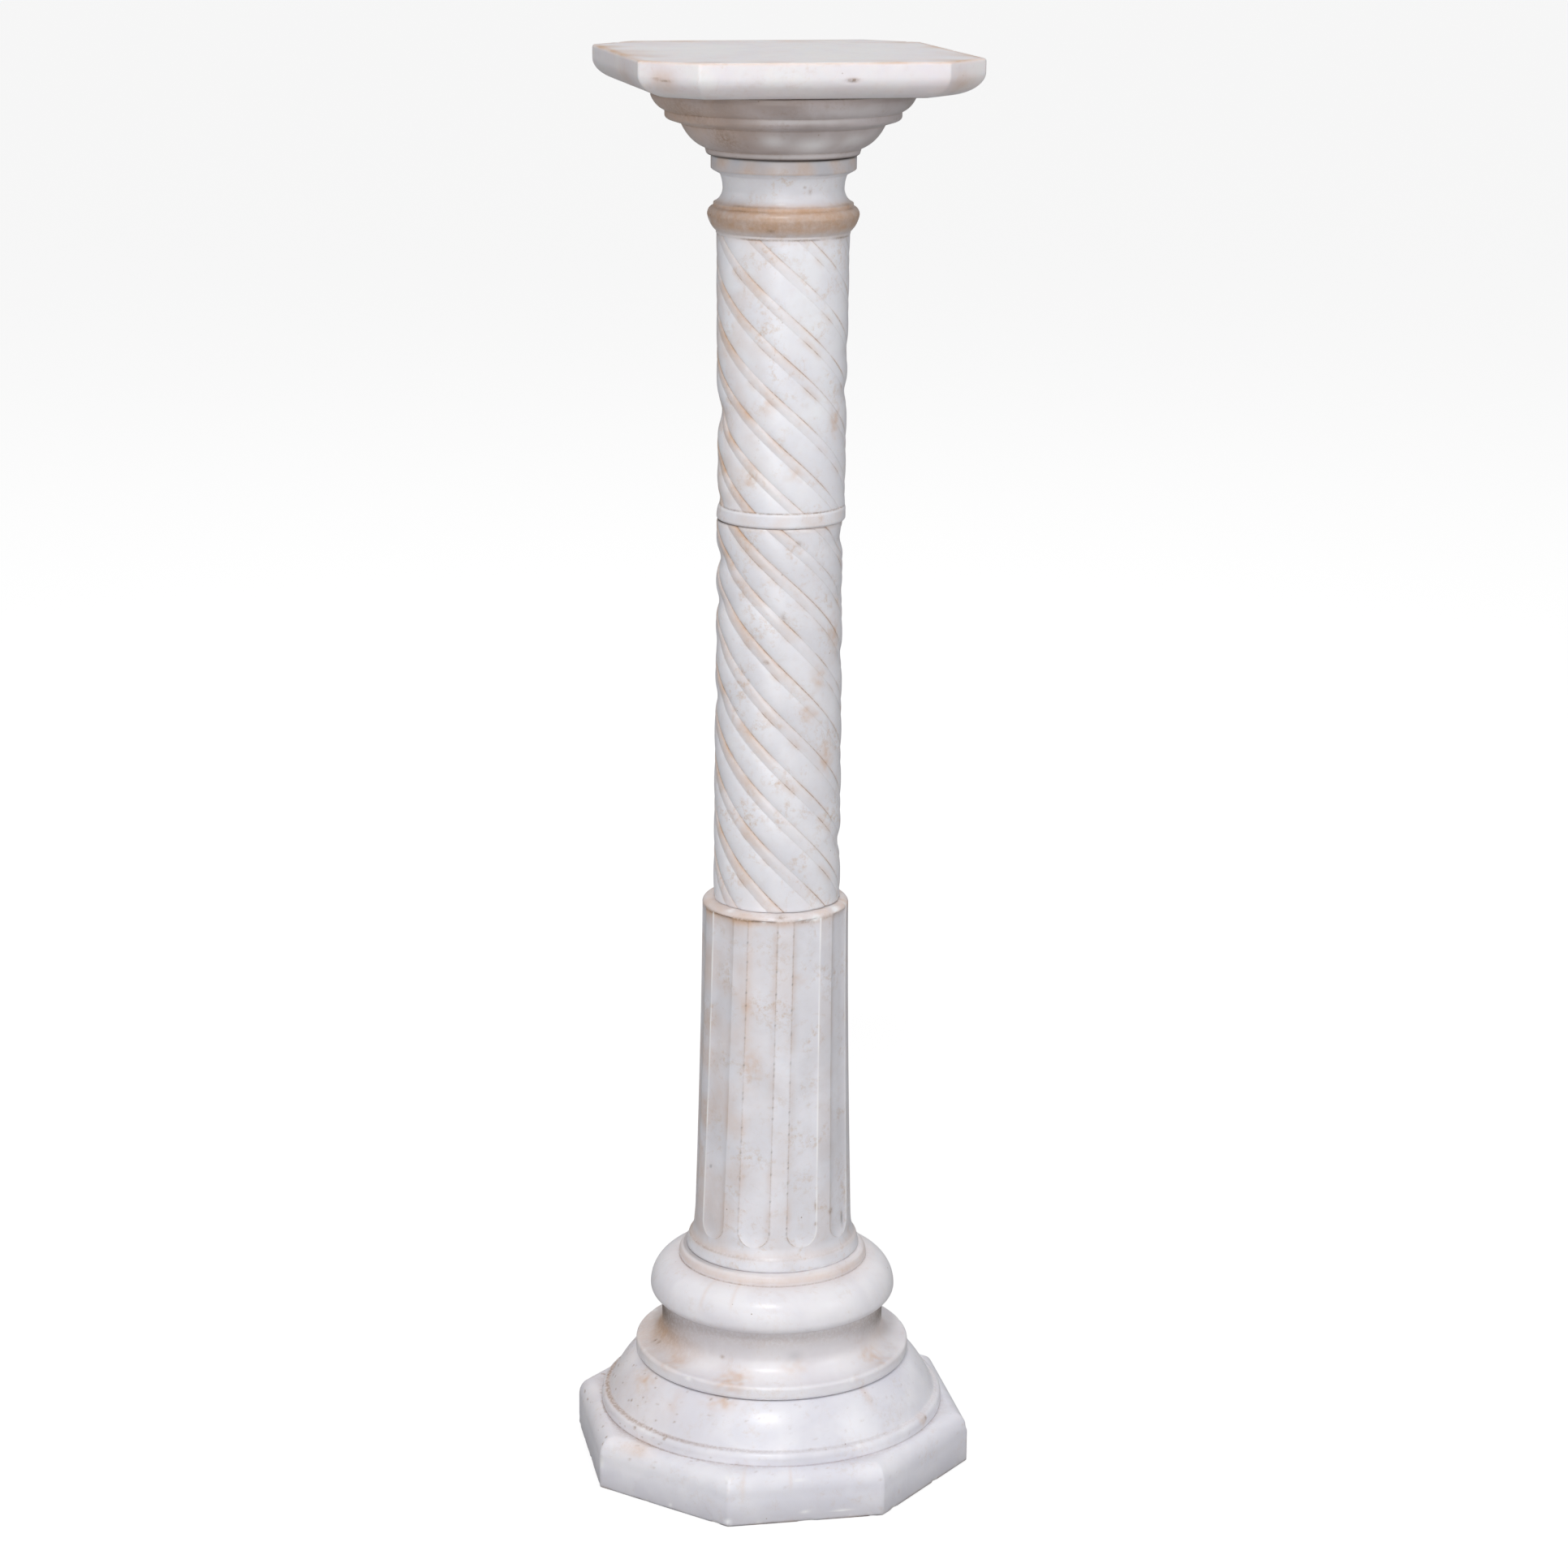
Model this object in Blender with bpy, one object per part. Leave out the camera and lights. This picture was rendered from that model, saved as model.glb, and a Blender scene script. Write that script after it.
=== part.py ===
"""Barley twist column in alabaster: seven stone pieces that stand on each other, in metres, +Z up.

The origin is at the bottom centre of the plinth, whose flats lie along X and Y.
"""

from math import cos, pi, radians, sin, sqrt

import bmesh
import bpy

JOINT_GAP = 0.0003
COLUMNS = 40

# Plinth: an eight-sided block, a half-round ring and a bell that carries the base moulding.
PLINTH_ACROSS_FLATS = 0.286
PLINTH_BLOCK_HEIGHT = 0.0396
PLINTH_EDGE_IN = 0.011
PLINTH_EDGE_DOWN = 0.0145
PLINTH_RING_SETBACK = 0.0004
PLINTH_RING_HEIGHT = 0.0104
PLINTH_RING_STEP = 0.0058
PLINTH_BELL_HEIGHT = 0.0302
PLINTH_BELL_PULL = (0.50, 0.825)

# Base moulding: lip, cove, upright throat, large torus and collar, turned in one piece.
LIP_RADIUS = 0.1052
LIP_SETBACK = 0.0026
LIP_FOOT_HEIGHT = 0.0020
LIP_HEIGHT = 0.0111
LIP_EDGE_IN = 0.0030
LIP_EDGE_DOWN = 0.0022
COVE_HEIGHT = 0.0144
THROAT_RADIUS = 0.0850
THROAT_HEIGHT = 0.0213
TORUS_RADIUS = 0.0938
TORUS_UNDERSIDE_HEIGHT = 0.0077
TORUS_TOP_HEIGHT = 0.0238
COLLAR_RADIUS = 0.0718
COLLAR_ROUND = 0.0030
COLLAR_HEIGHT = 0.0084

# Fluted drum: a flared foot, ten shallow flutes with round ends, and a rounded ledge under the shaft.
DRUM_FOOT_SETBACK = 0.0022
DRUM_FILLET_IN = 0.0013
DRUM_FILLET_HEIGHT = 0.0092
DRUM_FLARE_HEIGHT = 0.0080
DRUM_FLARE_LEVELS = (0.35, 0.75)
DRUM_BODY_FOOT_RADIUS = 0.0606
DRUM_BODY_TOP_RADIUS = 0.0550
DRUM_BODY_HEIGHT = 0.2561
DRUM_TAPER_POWER = 1.5
DRUM_LEDGE_HEIGHT = 0.0044
DRUM_SEAT_MARGIN = 0.0004
FLUTES = 10
FLUTE_SHARE = 0.65
FLUTE_DEPTH = 0.0020
FLUTE_ACROSS = (-1.0, -0.36, 0.36, 1.0)
FLUTE_END_LEVELS = (0.93, 0.7, 0.35, 0.0)
FLUTE_TIP_OPENING = 0.2
FLUTE_END_DEPTH_SHARE = 0.6
FLUTE_ROWS = 3
FLUTE_START_DEG = 28.9
FLUTE_DRIFT_DEG = 5.0
FLUTE_TOP_MARGIN = 0.0006

# The two twisted shafts: eight wide strands with a narrow one between each pair.
STRANDS = 8
CREASE_DEPTH = 0.0018
SOFT_CREASE_DEPTH = 0.0014
NARROW_STRAND_DROP = 0.0008
RING_SPACING = 0.0155

LOWER_SHAFT_HEIGHT = 0.2877
LOWER_SHAFT_FOOT_RADIUS = 0.0478
LOWER_SHAFT_TOP_RADIUS = 0.0468
LOWER_TURN = 0.2947
LOWER_START_DEG = 44.0
LOWER_WIDE_SHARE = 0.677
LOWER_OFF_CENTRE = 0.0010

UPPER_RING_HEIGHT = 0.0111
UPPER_RING_PROUD = 0.0004
UPPER_RING_EDGE_IN = 0.0010
UPPER_RING_EDGE_HEIGHT = 0.0020
UPPER_RING_TOP_IN = 0.0005
UPPER_RING_TOP_STEP = 0.0007
UPPER_TWIST_HEIGHT = 0.1964
UPPER_SHAFT_FOOT_RADIUS = 0.0470
UPPER_SHAFT_TOP_RADIUS = 0.0482
UPPER_TURN = 0.2652
UPPER_START_DEG = 16.8
UPPER_WIDE_SHARE = 0.716
UPPER_OFF_CENTRE = 0.0018

# Neck of the upper shaft: fillet, torus, astragal, hollow and the band under the capital.
NECK_FILLET_PROUD = 0.0003
NECK_FILLET_STEP = 0.0006
NECK_FILLET_HEIGHT = 0.0024
NECK_TORUS_RADIUS = 0.0550
NECK_TORUS_HEIGHT = 0.0175
NECK_TORUS_MIDDLE_SHARE = 0.66
NECK_TORUS_PULL = (0.75, 0.35)
NECK_ASTRAGAL_RADIUS = 0.0506
NECK_ASTRAGAL_HEIGHT = 0.0026
NECK_HOLLOW_RADIUS = 0.0438
NECK_HOLLOW_TOP_RADIUS = 0.0460
NECK_HOLLOW_LOWER_HEIGHT = 0.0095
NECK_HOLLOW_LOWER_PULL = (0.85, 0.25)
NECK_HOLLOW_UPPER_HEIGHT = 0.0110
NECK_HOLLOW_UPPER_PULL = (0.05, 0.60)
NECK_SOFFIT_HEIGHT = 0.0030
NECK_BAND_RADIUS = 0.0525
NECK_BAND_EDGE = 0.0009
NECK_BAND_HEIGHT = 0.0105

# Capital: fillet, ovolo, soffit, fillet and a second ovolo under the slab.
CAPITAL_FOOT_PROUD = 0.0020
CAPITAL_FILLET_RADIUS = 0.0562
CAPITAL_FILLET_HEIGHT = 0.0046
CAPITAL_OVOLO_RADIUS = 0.0735
CAPITAL_OVOLO_HEIGHT = 0.0172
CAPITAL_OVOLO_PULL = (0.65, 0.24)
CAPITAL_RING_RADIUS = 0.0850
CAPITAL_SOFFIT_HEIGHT = 0.0057
CAPITAL_RING_HEIGHT = 0.0034
CAPITAL_TOP_RADIUS = 0.0950
CAPITAL_TOP_ROUND_HEIGHT = 0.0103
CAPITAL_TOP_PULL = (0.70, 0.27)
CAPITAL_TOP_BAND_HEIGHT = 0.0045
CAPITAL_OFF_CENTRE = 0.0012

# Top slab: a square with cut corners, its underside curving in to the capital.
SLAB_ACROSS_FLATS = 0.247
SLAB_CORNER_LEG = 0.0355
SLAB_FACE_HEIGHT = 0.0085
SLAB_CURVE_HEIGHT = 0.0167
SLAB_EDGE_ROUND = 0.0010
SLAB_CURVE_IN = 0.0285
SLAB_TURN_DEG = 2.3
SLAB_OFF_CENTRE = 0.0022

ARC_STEPS = 4

ALABASTER = {
    "plinth": (0.80, 0.79, 0.82),
    "base_moulding": (0.79, 0.78, 0.80),
    "fluted_drum": (0.68, 0.66, 0.66),
    "lower_shaft": (0.74, 0.72, 0.72),
    "upper_shaft": (0.82, 0.80, 0.81),
    "capital": (0.42, 0.36, 0.33),
    "top_slab": (0.80, 0.75, 0.74),
}
ALABASTER_ROUGHNESS = 0.28


def clear_scene():
    for existing in list(bpy.data.objects):
        bpy.data.objects.remove(existing, do_unlink=True)


def out_then_up(start, end, steps=ARC_STEPS):
    """Quarter curve that leaves start along the radius and reaches end along the height."""
    points = []
    for step in range(1, steps + 1):
        turn = pi / 2 * step / steps
        radius = start[0] + (end[0] - start[0]) * sin(turn)
        height = start[1] + (end[1] - start[1]) * (1 - cos(turn))
        points.append((radius, height))
    return points


def up_then_out(start, end, steps=ARC_STEPS):
    """Quarter curve that leaves start along the height and reaches end along the radius."""
    points = []
    for step in range(1, steps + 1):
        turn = pi / 2 * step / steps
        radius = start[0] + (end[0] - start[0]) * (1 - cos(turn))
        height = start[1] + (end[1] - start[1]) * sin(turn)
        points.append((radius, height))
    return points


def bow(start, end, pull, steps=ARC_STEPS):
    """Flatter curve from start to end. Its pull says what share of the way across and up its bend lies."""
    bend = (start[0] + (end[0] - start[0]) * pull[0], start[1] + (end[1] - start[1]) * pull[1])
    points = []
    for step in range(1, steps + 1):
        share = step / steps
        weights = ((1 - share) ** 2, 2 * share * (1 - share), share**2)
        radius = weights[0] * start[0] + weights[1] * bend[0] + weights[2] * end[0]
        height = weights[0] * start[1] + weights[1] * bend[1] + weights[2] * end[1]
        points.append((radius, height))
    return points


def circle(radius, height, first_turn=0.0):
    ring = []
    for column in range(COLUMNS):
        turn = first_turn + 2 * pi * column / COLUMNS
        ring.append((radius * cos(turn), radius * sin(turn), height))
    return ring


def alabaster(name):
    material = bpy.data.materials.new(name + "_alabaster")
    material.use_nodes = True
    shader = material.node_tree.nodes["Principled BSDF"]
    shader.inputs["Base Color"].default_value = (*ALABASTER[name], 1)
    shader.inputs["Roughness"].default_value = ALABASTER_ROUGHNESS
    shader.inputs["Metallic"].default_value = 0
    return material


def carve(name, rings, foot, off_centre=0.0):
    """One closed solid through rings of points, listed from its foot to its top."""
    mesh = bmesh.new()
    levels = []
    for ring in rings:
        levels.append([mesh.verts.new(point) for point in ring])
    for below, above in zip(levels, levels[1:]):
        for column in range(len(below)):
            following = (column + 1) % len(below)
            corners = (below[column], below[following], above[following], above[column])
            mesh.faces.new(corners)
    mesh.faces.new(reversed(levels[0]))
    mesh.faces.new(levels[-1])
    stone = bpy.data.meshes.new(name)
    mesh.to_mesh(stone)
    mesh.free()
    stone.shade_smooth()
    stone.set_sharp_from_angle(angle=radians(32))
    piece = bpy.data.objects.new(name, stone)
    piece.location = (off_centre, 0, foot)
    piece.data.materials.append(alabaster(name))
    bpy.context.scene.collection.objects.link(piece)


def turned(name, outline, foot, off_centre=0.0):
    rings = [circle(radius, height) for radius, height in outline]
    carve(name, rings, foot, off_centre)


def cut_cornered_square(half, leg, height, points_per_side=1):
    """Corners of a square with its corners cut, from the side that faces +X, counterclockwise."""
    corners = [
        (half, -half + leg),
        (half, half - leg),
        (half - leg, half),
        (-half + leg, half),
        (-half, half - leg),
        (-half, -half + leg),
        (-half + leg, -half),
        (half - leg, -half),
    ]
    ring = []
    for index, (x, y) in enumerate(corners):
        next_x, next_y = corners[(index + 1) % len(corners)]
        for step in range(points_per_side):
            share = step / points_per_side
            ring.append((x + (next_x - x) * share, y + (next_y - y) * share, height))
    return ring


def leg_after_inset(leg, inset):
    """A mitred inset moves every side in by the same distance, which shortens the cut corner."""
    return leg - (2 - sqrt(2)) * inset


def plinth_height():
    return PLINTH_BLOCK_HEIGHT + PLINTH_RING_HEIGHT + PLINTH_BELL_HEIGHT


def make_plinth():
    half = PLINTH_ACROSS_FLATS / 2
    leg = PLINTH_ACROSS_FLATS * (1 - 1 / sqrt(2))
    points_per_side = COLUMNS // 8
    first_turn = -pi / 8
    edge = [(0.0, 0.0), (0.0, PLINTH_BLOCK_HEIGHT - PLINTH_EDGE_DOWN)]
    edge += up_then_out(edge[-1], (PLINTH_EDGE_IN, PLINTH_BLOCK_HEIGHT))
    rings = []
    for inset, height in edge:
        ring = cut_cornered_square(half - inset, leg_after_inset(leg, inset), height, points_per_side)
        rings.append(ring)

    ring_radius = half - PLINTH_EDGE_IN - PLINTH_RING_SETBACK
    bell_foot = ring_radius - PLINTH_RING_STEP
    bell_top = LIP_RADIUS - LIP_SETBACK
    ring_middle = PLINTH_BLOCK_HEIGHT + PLINTH_RING_HEIGHT / 2
    ring_top = PLINTH_BLOCK_HEIGHT + PLINTH_RING_HEIGHT
    outline = [(ring_radius, PLINTH_BLOCK_HEIGHT), (ring_radius, ring_middle)]
    outline += up_then_out(outline[-1], (bell_foot, ring_top), 3)
    outline += bow(outline[-1], (bell_top, ring_top + PLINTH_BELL_HEIGHT), PLINTH_BELL_PULL, 5)
    rings += [circle(radius, height, first_turn) for radius, height in outline]
    carve("plinth", rings, 0.0)


def base_height():
    torus_height = TORUS_UNDERSIDE_HEIGHT + TORUS_TOP_HEIGHT
    return LIP_HEIGHT + COVE_HEIGHT + THROAT_HEIGHT + torus_height + COLLAR_HEIGHT


def make_base_moulding(foot):
    cove_top = LIP_HEIGHT + COVE_HEIGHT
    torus_foot = cove_top + THROAT_HEIGHT
    torus_middle = torus_foot + TORUS_UNDERSIDE_HEIGHT
    torus_top = torus_middle + TORUS_TOP_HEIGHT
    collar_top = torus_top + COLLAR_HEIGHT
    outline = [(LIP_RADIUS - LIP_SETBACK, 0.0), (LIP_RADIUS, LIP_FOOT_HEIGHT)]
    outline.append((LIP_RADIUS, LIP_HEIGHT - LIP_EDGE_DOWN))
    outline += up_then_out(outline[-1], (LIP_RADIUS - LIP_EDGE_IN, LIP_HEIGHT), 2)
    outline += out_then_up(outline[-1], (THROAT_RADIUS, cove_top), 4)
    outline.append((THROAT_RADIUS, torus_foot))
    outline += out_then_up(outline[-1], (TORUS_RADIUS, torus_middle), 3)
    outline += up_then_out(outline[-1], (COLLAR_RADIUS, torus_top), 5)
    outline.append((COLLAR_RADIUS, torus_top + COLLAR_HEIGHT - COLLAR_ROUND))
    outline.append((COLLAR_RADIUS - COLLAR_ROUND, collar_top))
    turned("base_moulding", outline, foot)


def drum_height():
    return DRUM_FILLET_HEIGHT + DRUM_FLARE_HEIGHT + DRUM_BODY_HEIGHT + DRUM_LEDGE_HEIGHT


def make_fluted_drum(foot):
    """Five columns to a flute: its two edges, two across its hollow and one on the fillet."""
    foot_radius = COLLAR_RADIUS - COLLAR_ROUND - DRUM_FOOT_SETBACK
    fillet_radius = foot_radius - DRUM_FILLET_IN
    body_foot = DRUM_FILLET_HEIGHT + DRUM_FLARE_HEIGHT
    body_top = body_foot + DRUM_BODY_HEIGHT
    pitch = 2 * pi / FLUTES
    half_flute = pitch * FLUTE_SHARE / 2
    end_radius = DRUM_BODY_FOOT_RADIUS * sin(half_flute)
    spring = body_foot + end_radius

    def body_radius(height):
        share = max(0.0, (body_top - height) / DRUM_BODY_HEIGHT)
        spread = DRUM_BODY_FOOT_RADIUS - DRUM_BODY_TOP_RADIUS
        return DRUM_BODY_TOP_RADIUS + spread * share**DRUM_TAPER_POWER

    def flute_ring(height, radius, opening, depth):
        drift = radians(FLUTE_DRIFT_DEG) * min(1.0, max(0.0, (height - body_foot) / DRUM_BODY_HEIGHT))
        ring = []
        for flute in range(FLUTES):
            centre = radians(FLUTE_START_DEG) + drift + pitch * flute
            for across in FLUTE_ACROSS:
                hollow = depth * (1 - across**2)
                turn = centre + half_flute * opening * across
                ring.append(((radius - hollow) * cos(turn), (radius - hollow) * sin(turn), height))
            turn = centre + pitch / 2
            ring.append((radius * cos(turn), radius * sin(turn), height))
        return ring

    rings = [flute_ring(0.0, foot_radius, 1.0, 0.0), flute_ring(DRUM_FILLET_HEIGHT, fillet_radius, 1.0, 0.0)]
    for share in DRUM_FLARE_LEVELS:
        radius = body_radius(body_foot) + (fillet_radius - body_radius(body_foot)) * (1 - share) ** 2
        rings.append(flute_ring(DRUM_FILLET_HEIGHT + DRUM_FLARE_HEIGHT * share, radius, 1.0, 0.0))
    rings.append(flute_ring(body_foot, body_radius(body_foot), FLUTE_TIP_OPENING, 0.0))
    for below_spring in FLUTE_END_LEVELS:
        height = spring - end_radius * below_spring
        opening = sqrt(1 - below_spring**2)
        depth = FLUTE_DEPTH * (FLUTE_END_DEPTH_SHARE + (1 - FLUTE_END_DEPTH_SHARE) * opening)
        rings.append(flute_ring(height, body_radius(height), opening, depth))
    for row in range(1, FLUTE_ROWS + 1):
        height = spring + (body_top - FLUTE_TOP_MARGIN - spring) * row / FLUTE_ROWS
        rings.append(flute_ring(height, body_radius(height), 1.0, FLUTE_DEPTH))
    seat_radius = LOWER_SHAFT_FOOT_RADIUS + LOWER_OFF_CENTRE + DRUM_SEAT_MARGIN
    ledge = [(DRUM_BODY_TOP_RADIUS, body_top)]
    ledge += up_then_out(ledge[-1], (seat_radius, body_top + DRUM_LEDGE_HEIGHT), 3)
    rings += [flute_ring(height, radius, 1.0, 0.0) for radius, height in ledge]
    carve("fluted_drum", rings, foot)


def twist_ring(height, crest, start_deg, turn_height, wide_share):
    """One level of the twist: crisp crease, wide strand, soft crease, narrow strand, eight times."""
    section = [
        (0.0, CREASE_DEPTH),
        (wide_share / 3, 0.0),
        (wide_share * 2 / 3, 0.0),
        (wide_share, SOFT_CREASE_DEPTH),
        ((1 + wide_share) / 2, NARROW_STRAND_DROP),
    ]
    first = radians(start_deg) - 2 * pi * height / turn_height
    ring = []
    for strand in range(STRANDS):
        for share, depth in section:
            turn = first + 2 * pi * (strand + share) / STRANDS
            radius = crest - depth
            ring.append((radius * cos(turn), radius * sin(turn), height))
    return ring


def twist(height, foot_radius, top_radius, start_deg, turn_height, wide_share, above=0.0):
    """Levels of a twisted shaft whose foot is at height above over the foot of its piece."""
    levels = max(2, round(height / RING_SPACING))
    rings = []
    for level in range(levels + 1):
        share = level / levels
        crest = foot_radius + (top_radius - foot_radius) * share
        ring = twist_ring(height * share, crest, start_deg, turn_height, wide_share)
        rings.append([(x, y, z + above) for x, y, z in ring])
    return rings


def over_twist(radius, height, twist_level, start_deg, turn_height, wide_share):
    """A round level whose points stand over those of the twist, so that the faces between stay even."""
    ring = []
    for x, y, _ in twist_ring(twist_level, radius, start_deg, turn_height, wide_share):
        reach = radius / sqrt(x * x + y * y)
        ring.append((x * reach, y * reach, height))
    return ring


def make_lower_shaft(foot):
    rings = twist(
        LOWER_SHAFT_HEIGHT,
        LOWER_SHAFT_FOOT_RADIUS,
        LOWER_SHAFT_TOP_RADIUS,
        LOWER_START_DEG,
        LOWER_TURN,
        LOWER_WIDE_SHARE,
    )
    carve("lower_shaft", rings, foot, LOWER_OFF_CENTRE)


def upper_shaft_height():
    mouldings = NECK_FILLET_HEIGHT + NECK_TORUS_HEIGHT + NECK_ASTRAGAL_HEIGHT
    hollow = NECK_HOLLOW_LOWER_HEIGHT + NECK_HOLLOW_UPPER_HEIGHT
    neck = mouldings + hollow + NECK_SOFFIT_HEIGHT + NECK_BAND_HEIGHT
    return UPPER_RING_HEIGHT + UPPER_TWIST_HEIGHT + neck


def make_upper_shaft(foot):
    lines = (UPPER_START_DEG, UPPER_TURN, UPPER_WIDE_SHARE)
    ring_radius = UPPER_SHAFT_FOOT_RADIUS + UPPER_RING_PROUD
    bottom_ring = [
        (ring_radius - UPPER_RING_EDGE_IN, 0.0),
        (ring_radius, UPPER_RING_EDGE_HEIGHT),
        (ring_radius, UPPER_RING_HEIGHT - UPPER_RING_EDGE_HEIGHT),
        (ring_radius - UPPER_RING_TOP_IN, UPPER_RING_HEIGHT - UPPER_RING_TOP_STEP),
    ]
    rings = [over_twist(radius, height, 0.0, *lines) for radius, height in bottom_ring]
    twist_sizes = (UPPER_TWIST_HEIGHT, UPPER_SHAFT_FOOT_RADIUS, UPPER_SHAFT_TOP_RADIUS)
    rings += twist(*twist_sizes, *lines, above=UPPER_RING_HEIGHT)

    fillet_foot = UPPER_RING_HEIGHT + UPPER_TWIST_HEIGHT
    fillet_radius = UPPER_SHAFT_TOP_RADIUS + NECK_FILLET_PROUD
    torus_foot = fillet_foot + NECK_FILLET_HEIGHT
    torus_middle = torus_foot + NECK_TORUS_HEIGHT * NECK_TORUS_MIDDLE_SHARE
    torus_top = torus_foot + NECK_TORUS_HEIGHT
    hollow_foot = torus_top + NECK_ASTRAGAL_HEIGHT
    hollow_middle = hollow_foot + NECK_HOLLOW_LOWER_HEIGHT
    hollow_top = hollow_middle + NECK_HOLLOW_UPPER_HEIGHT
    band_foot = hollow_top + NECK_SOFFIT_HEIGHT
    outline = [(fillet_radius, fillet_foot + NECK_FILLET_STEP), (fillet_radius, torus_foot)]
    outline += bow(outline[-1], (NECK_TORUS_RADIUS, torus_middle), NECK_TORUS_PULL)
    outline += up_then_out(outline[-1], (NECK_ASTRAGAL_RADIUS, torus_top), 3)
    outline.append((NECK_ASTRAGAL_RADIUS, hollow_foot))
    outline += bow(outline[-1], (NECK_HOLLOW_RADIUS, hollow_middle), NECK_HOLLOW_LOWER_PULL, 3)
    outline += bow(outline[-1], (NECK_HOLLOW_TOP_RADIUS, hollow_top), NECK_HOLLOW_UPPER_PULL, 2)
    outline.append((NECK_BAND_RADIUS - NECK_BAND_EDGE, band_foot))
    outline.append((NECK_BAND_RADIUS, band_foot + NECK_BAND_EDGE))
    outline.append((NECK_BAND_RADIUS, band_foot + NECK_BAND_HEIGHT))
    rings += [over_twist(radius, height, UPPER_TWIST_HEIGHT, *lines) for radius, height in outline]
    carve("upper_shaft", rings, foot, UPPER_OFF_CENTRE)


def capital_height():
    below = CAPITAL_FILLET_HEIGHT + CAPITAL_OVOLO_HEIGHT + CAPITAL_SOFFIT_HEIGHT
    return below + CAPITAL_RING_HEIGHT + CAPITAL_TOP_ROUND_HEIGHT + CAPITAL_TOP_BAND_HEIGHT


def make_capital(foot):
    fillet_top = CAPITAL_FILLET_HEIGHT
    ovolo_top = fillet_top + CAPITAL_OVOLO_HEIGHT
    soffit_top = ovolo_top + CAPITAL_SOFFIT_HEIGHT
    ring_top = soffit_top + CAPITAL_RING_HEIGHT
    round_top = ring_top + CAPITAL_TOP_ROUND_HEIGHT
    outline = [(NECK_BAND_RADIUS + CAPITAL_FOOT_PROUD, 0.0), (CAPITAL_FILLET_RADIUS, fillet_top)]
    outline += bow(outline[-1], (CAPITAL_OVOLO_RADIUS, ovolo_top), CAPITAL_OVOLO_PULL, 6)
    outline.append((CAPITAL_RING_RADIUS, soffit_top))
    outline.append((CAPITAL_RING_RADIUS, ring_top))
    outline += bow(outline[-1], (CAPITAL_TOP_RADIUS, round_top), CAPITAL_TOP_PULL)
    outline.append((CAPITAL_TOP_RADIUS, round_top + CAPITAL_TOP_BAND_HEIGHT))
    turned("capital", outline, foot, CAPITAL_OFF_CENTRE)


def make_top_slab(foot):
    half = SLAB_ACROSS_FLATS / 2
    face_top = SLAB_CURVE_HEIGHT + SLAB_FACE_HEIGHT
    edge = [(SLAB_CURVE_IN, 0.0)]
    edge += out_then_up(edge[-1], (0.0, SLAB_CURVE_HEIGHT), 6)
    edge.append((0.0, face_top))
    edge.append((SLAB_EDGE_ROUND, face_top + SLAB_EDGE_ROUND))
    turn = radians(SLAB_TURN_DEG)
    rings = []
    for inset, height in edge:
        ring = cut_cornered_square(half - inset, leg_after_inset(SLAB_CORNER_LEG, inset), height)
        rings.append([(x * cos(turn) - y * sin(turn), x * sin(turn) + y * cos(turn), z) for x, y, z in ring])
    carve("top_slab", rings, foot, SLAB_OFF_CENTRE)


def make_column():
    clear_scene()
    make_plinth()
    height = plinth_height() + JOINT_GAP
    make_base_moulding(height)
    height += base_height() + JOINT_GAP
    make_fluted_drum(height)
    height += drum_height() + JOINT_GAP
    make_lower_shaft(height)
    height += LOWER_SHAFT_HEIGHT + JOINT_GAP
    make_upper_shaft(height)
    height += upper_shaft_height() + JOINT_GAP
    make_capital(height)
    height += capital_height() + JOINT_GAP
    make_top_slab(height)


make_column()
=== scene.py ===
from math import cos, pi, radians, sin, sqrt

import bpy
import numpy as np
from mathutils import Matrix, Vector, noise


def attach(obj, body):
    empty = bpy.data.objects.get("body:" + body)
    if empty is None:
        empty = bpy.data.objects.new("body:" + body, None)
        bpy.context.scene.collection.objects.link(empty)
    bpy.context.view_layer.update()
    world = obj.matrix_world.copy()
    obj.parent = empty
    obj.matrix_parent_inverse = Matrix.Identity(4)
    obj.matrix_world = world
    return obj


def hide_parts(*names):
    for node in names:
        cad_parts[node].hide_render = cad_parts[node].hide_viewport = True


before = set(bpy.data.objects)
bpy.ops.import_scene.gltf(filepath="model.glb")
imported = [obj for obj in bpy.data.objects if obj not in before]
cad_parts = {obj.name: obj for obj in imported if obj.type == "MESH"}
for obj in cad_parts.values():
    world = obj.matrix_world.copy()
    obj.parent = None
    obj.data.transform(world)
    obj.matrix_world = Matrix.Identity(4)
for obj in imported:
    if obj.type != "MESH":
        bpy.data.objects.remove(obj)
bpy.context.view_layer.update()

# The camera stands where the photograph was taken from: a little above the top slab, looking down, and
# turned a little round from the plinth's front. It is rolled by half a degree, so the column leans right.
CAMERA_PLACE = (-0.504, -2.673, 1.246)
CAMERA_TURN = radians(-10.8)
CAMERA_DOWN = radians(14.71)
CAMERA_ROLL = radians(0.5)
CAMERA_SENSOR = 36
CAMERA_LENS = 86.5

camera = bpy.data.objects.new("camera", bpy.data.cameras.new("camera"))
camera.data.sensor_width = CAMERA_SENSOR
camera.data.lens = CAMERA_LENS
aim = Matrix.Rotation(CAMERA_TURN, 4, "Z") @ Matrix.Rotation(pi / 2 - CAMERA_DOWN, 4, "X")
camera.matrix_world = Matrix.Translation(CAMERA_PLACE) @ aim @ Matrix.Rotation(CAMERA_ROLL, 4, "Z")
bpy.context.scene.collection.objects.link(camera)
bpy.context.scene.camera = camera

# The plinth is the heaviest piece: an octagonal block with a rounded shoulder, a round-edged ring turned
# above it and a bell that carries the base moulding. It is white alabaster, sawn, turned and polished.
# Its edges are chipped from years on the floor, and dirt lies in the two grooves beside the ring.
MM = 0.001
JOINT_GAP = 0.3
FRONT = radians(-100.7)
LEFT = -1
RIGHT = 1
SHARP_EDGE = radians(50)


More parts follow.
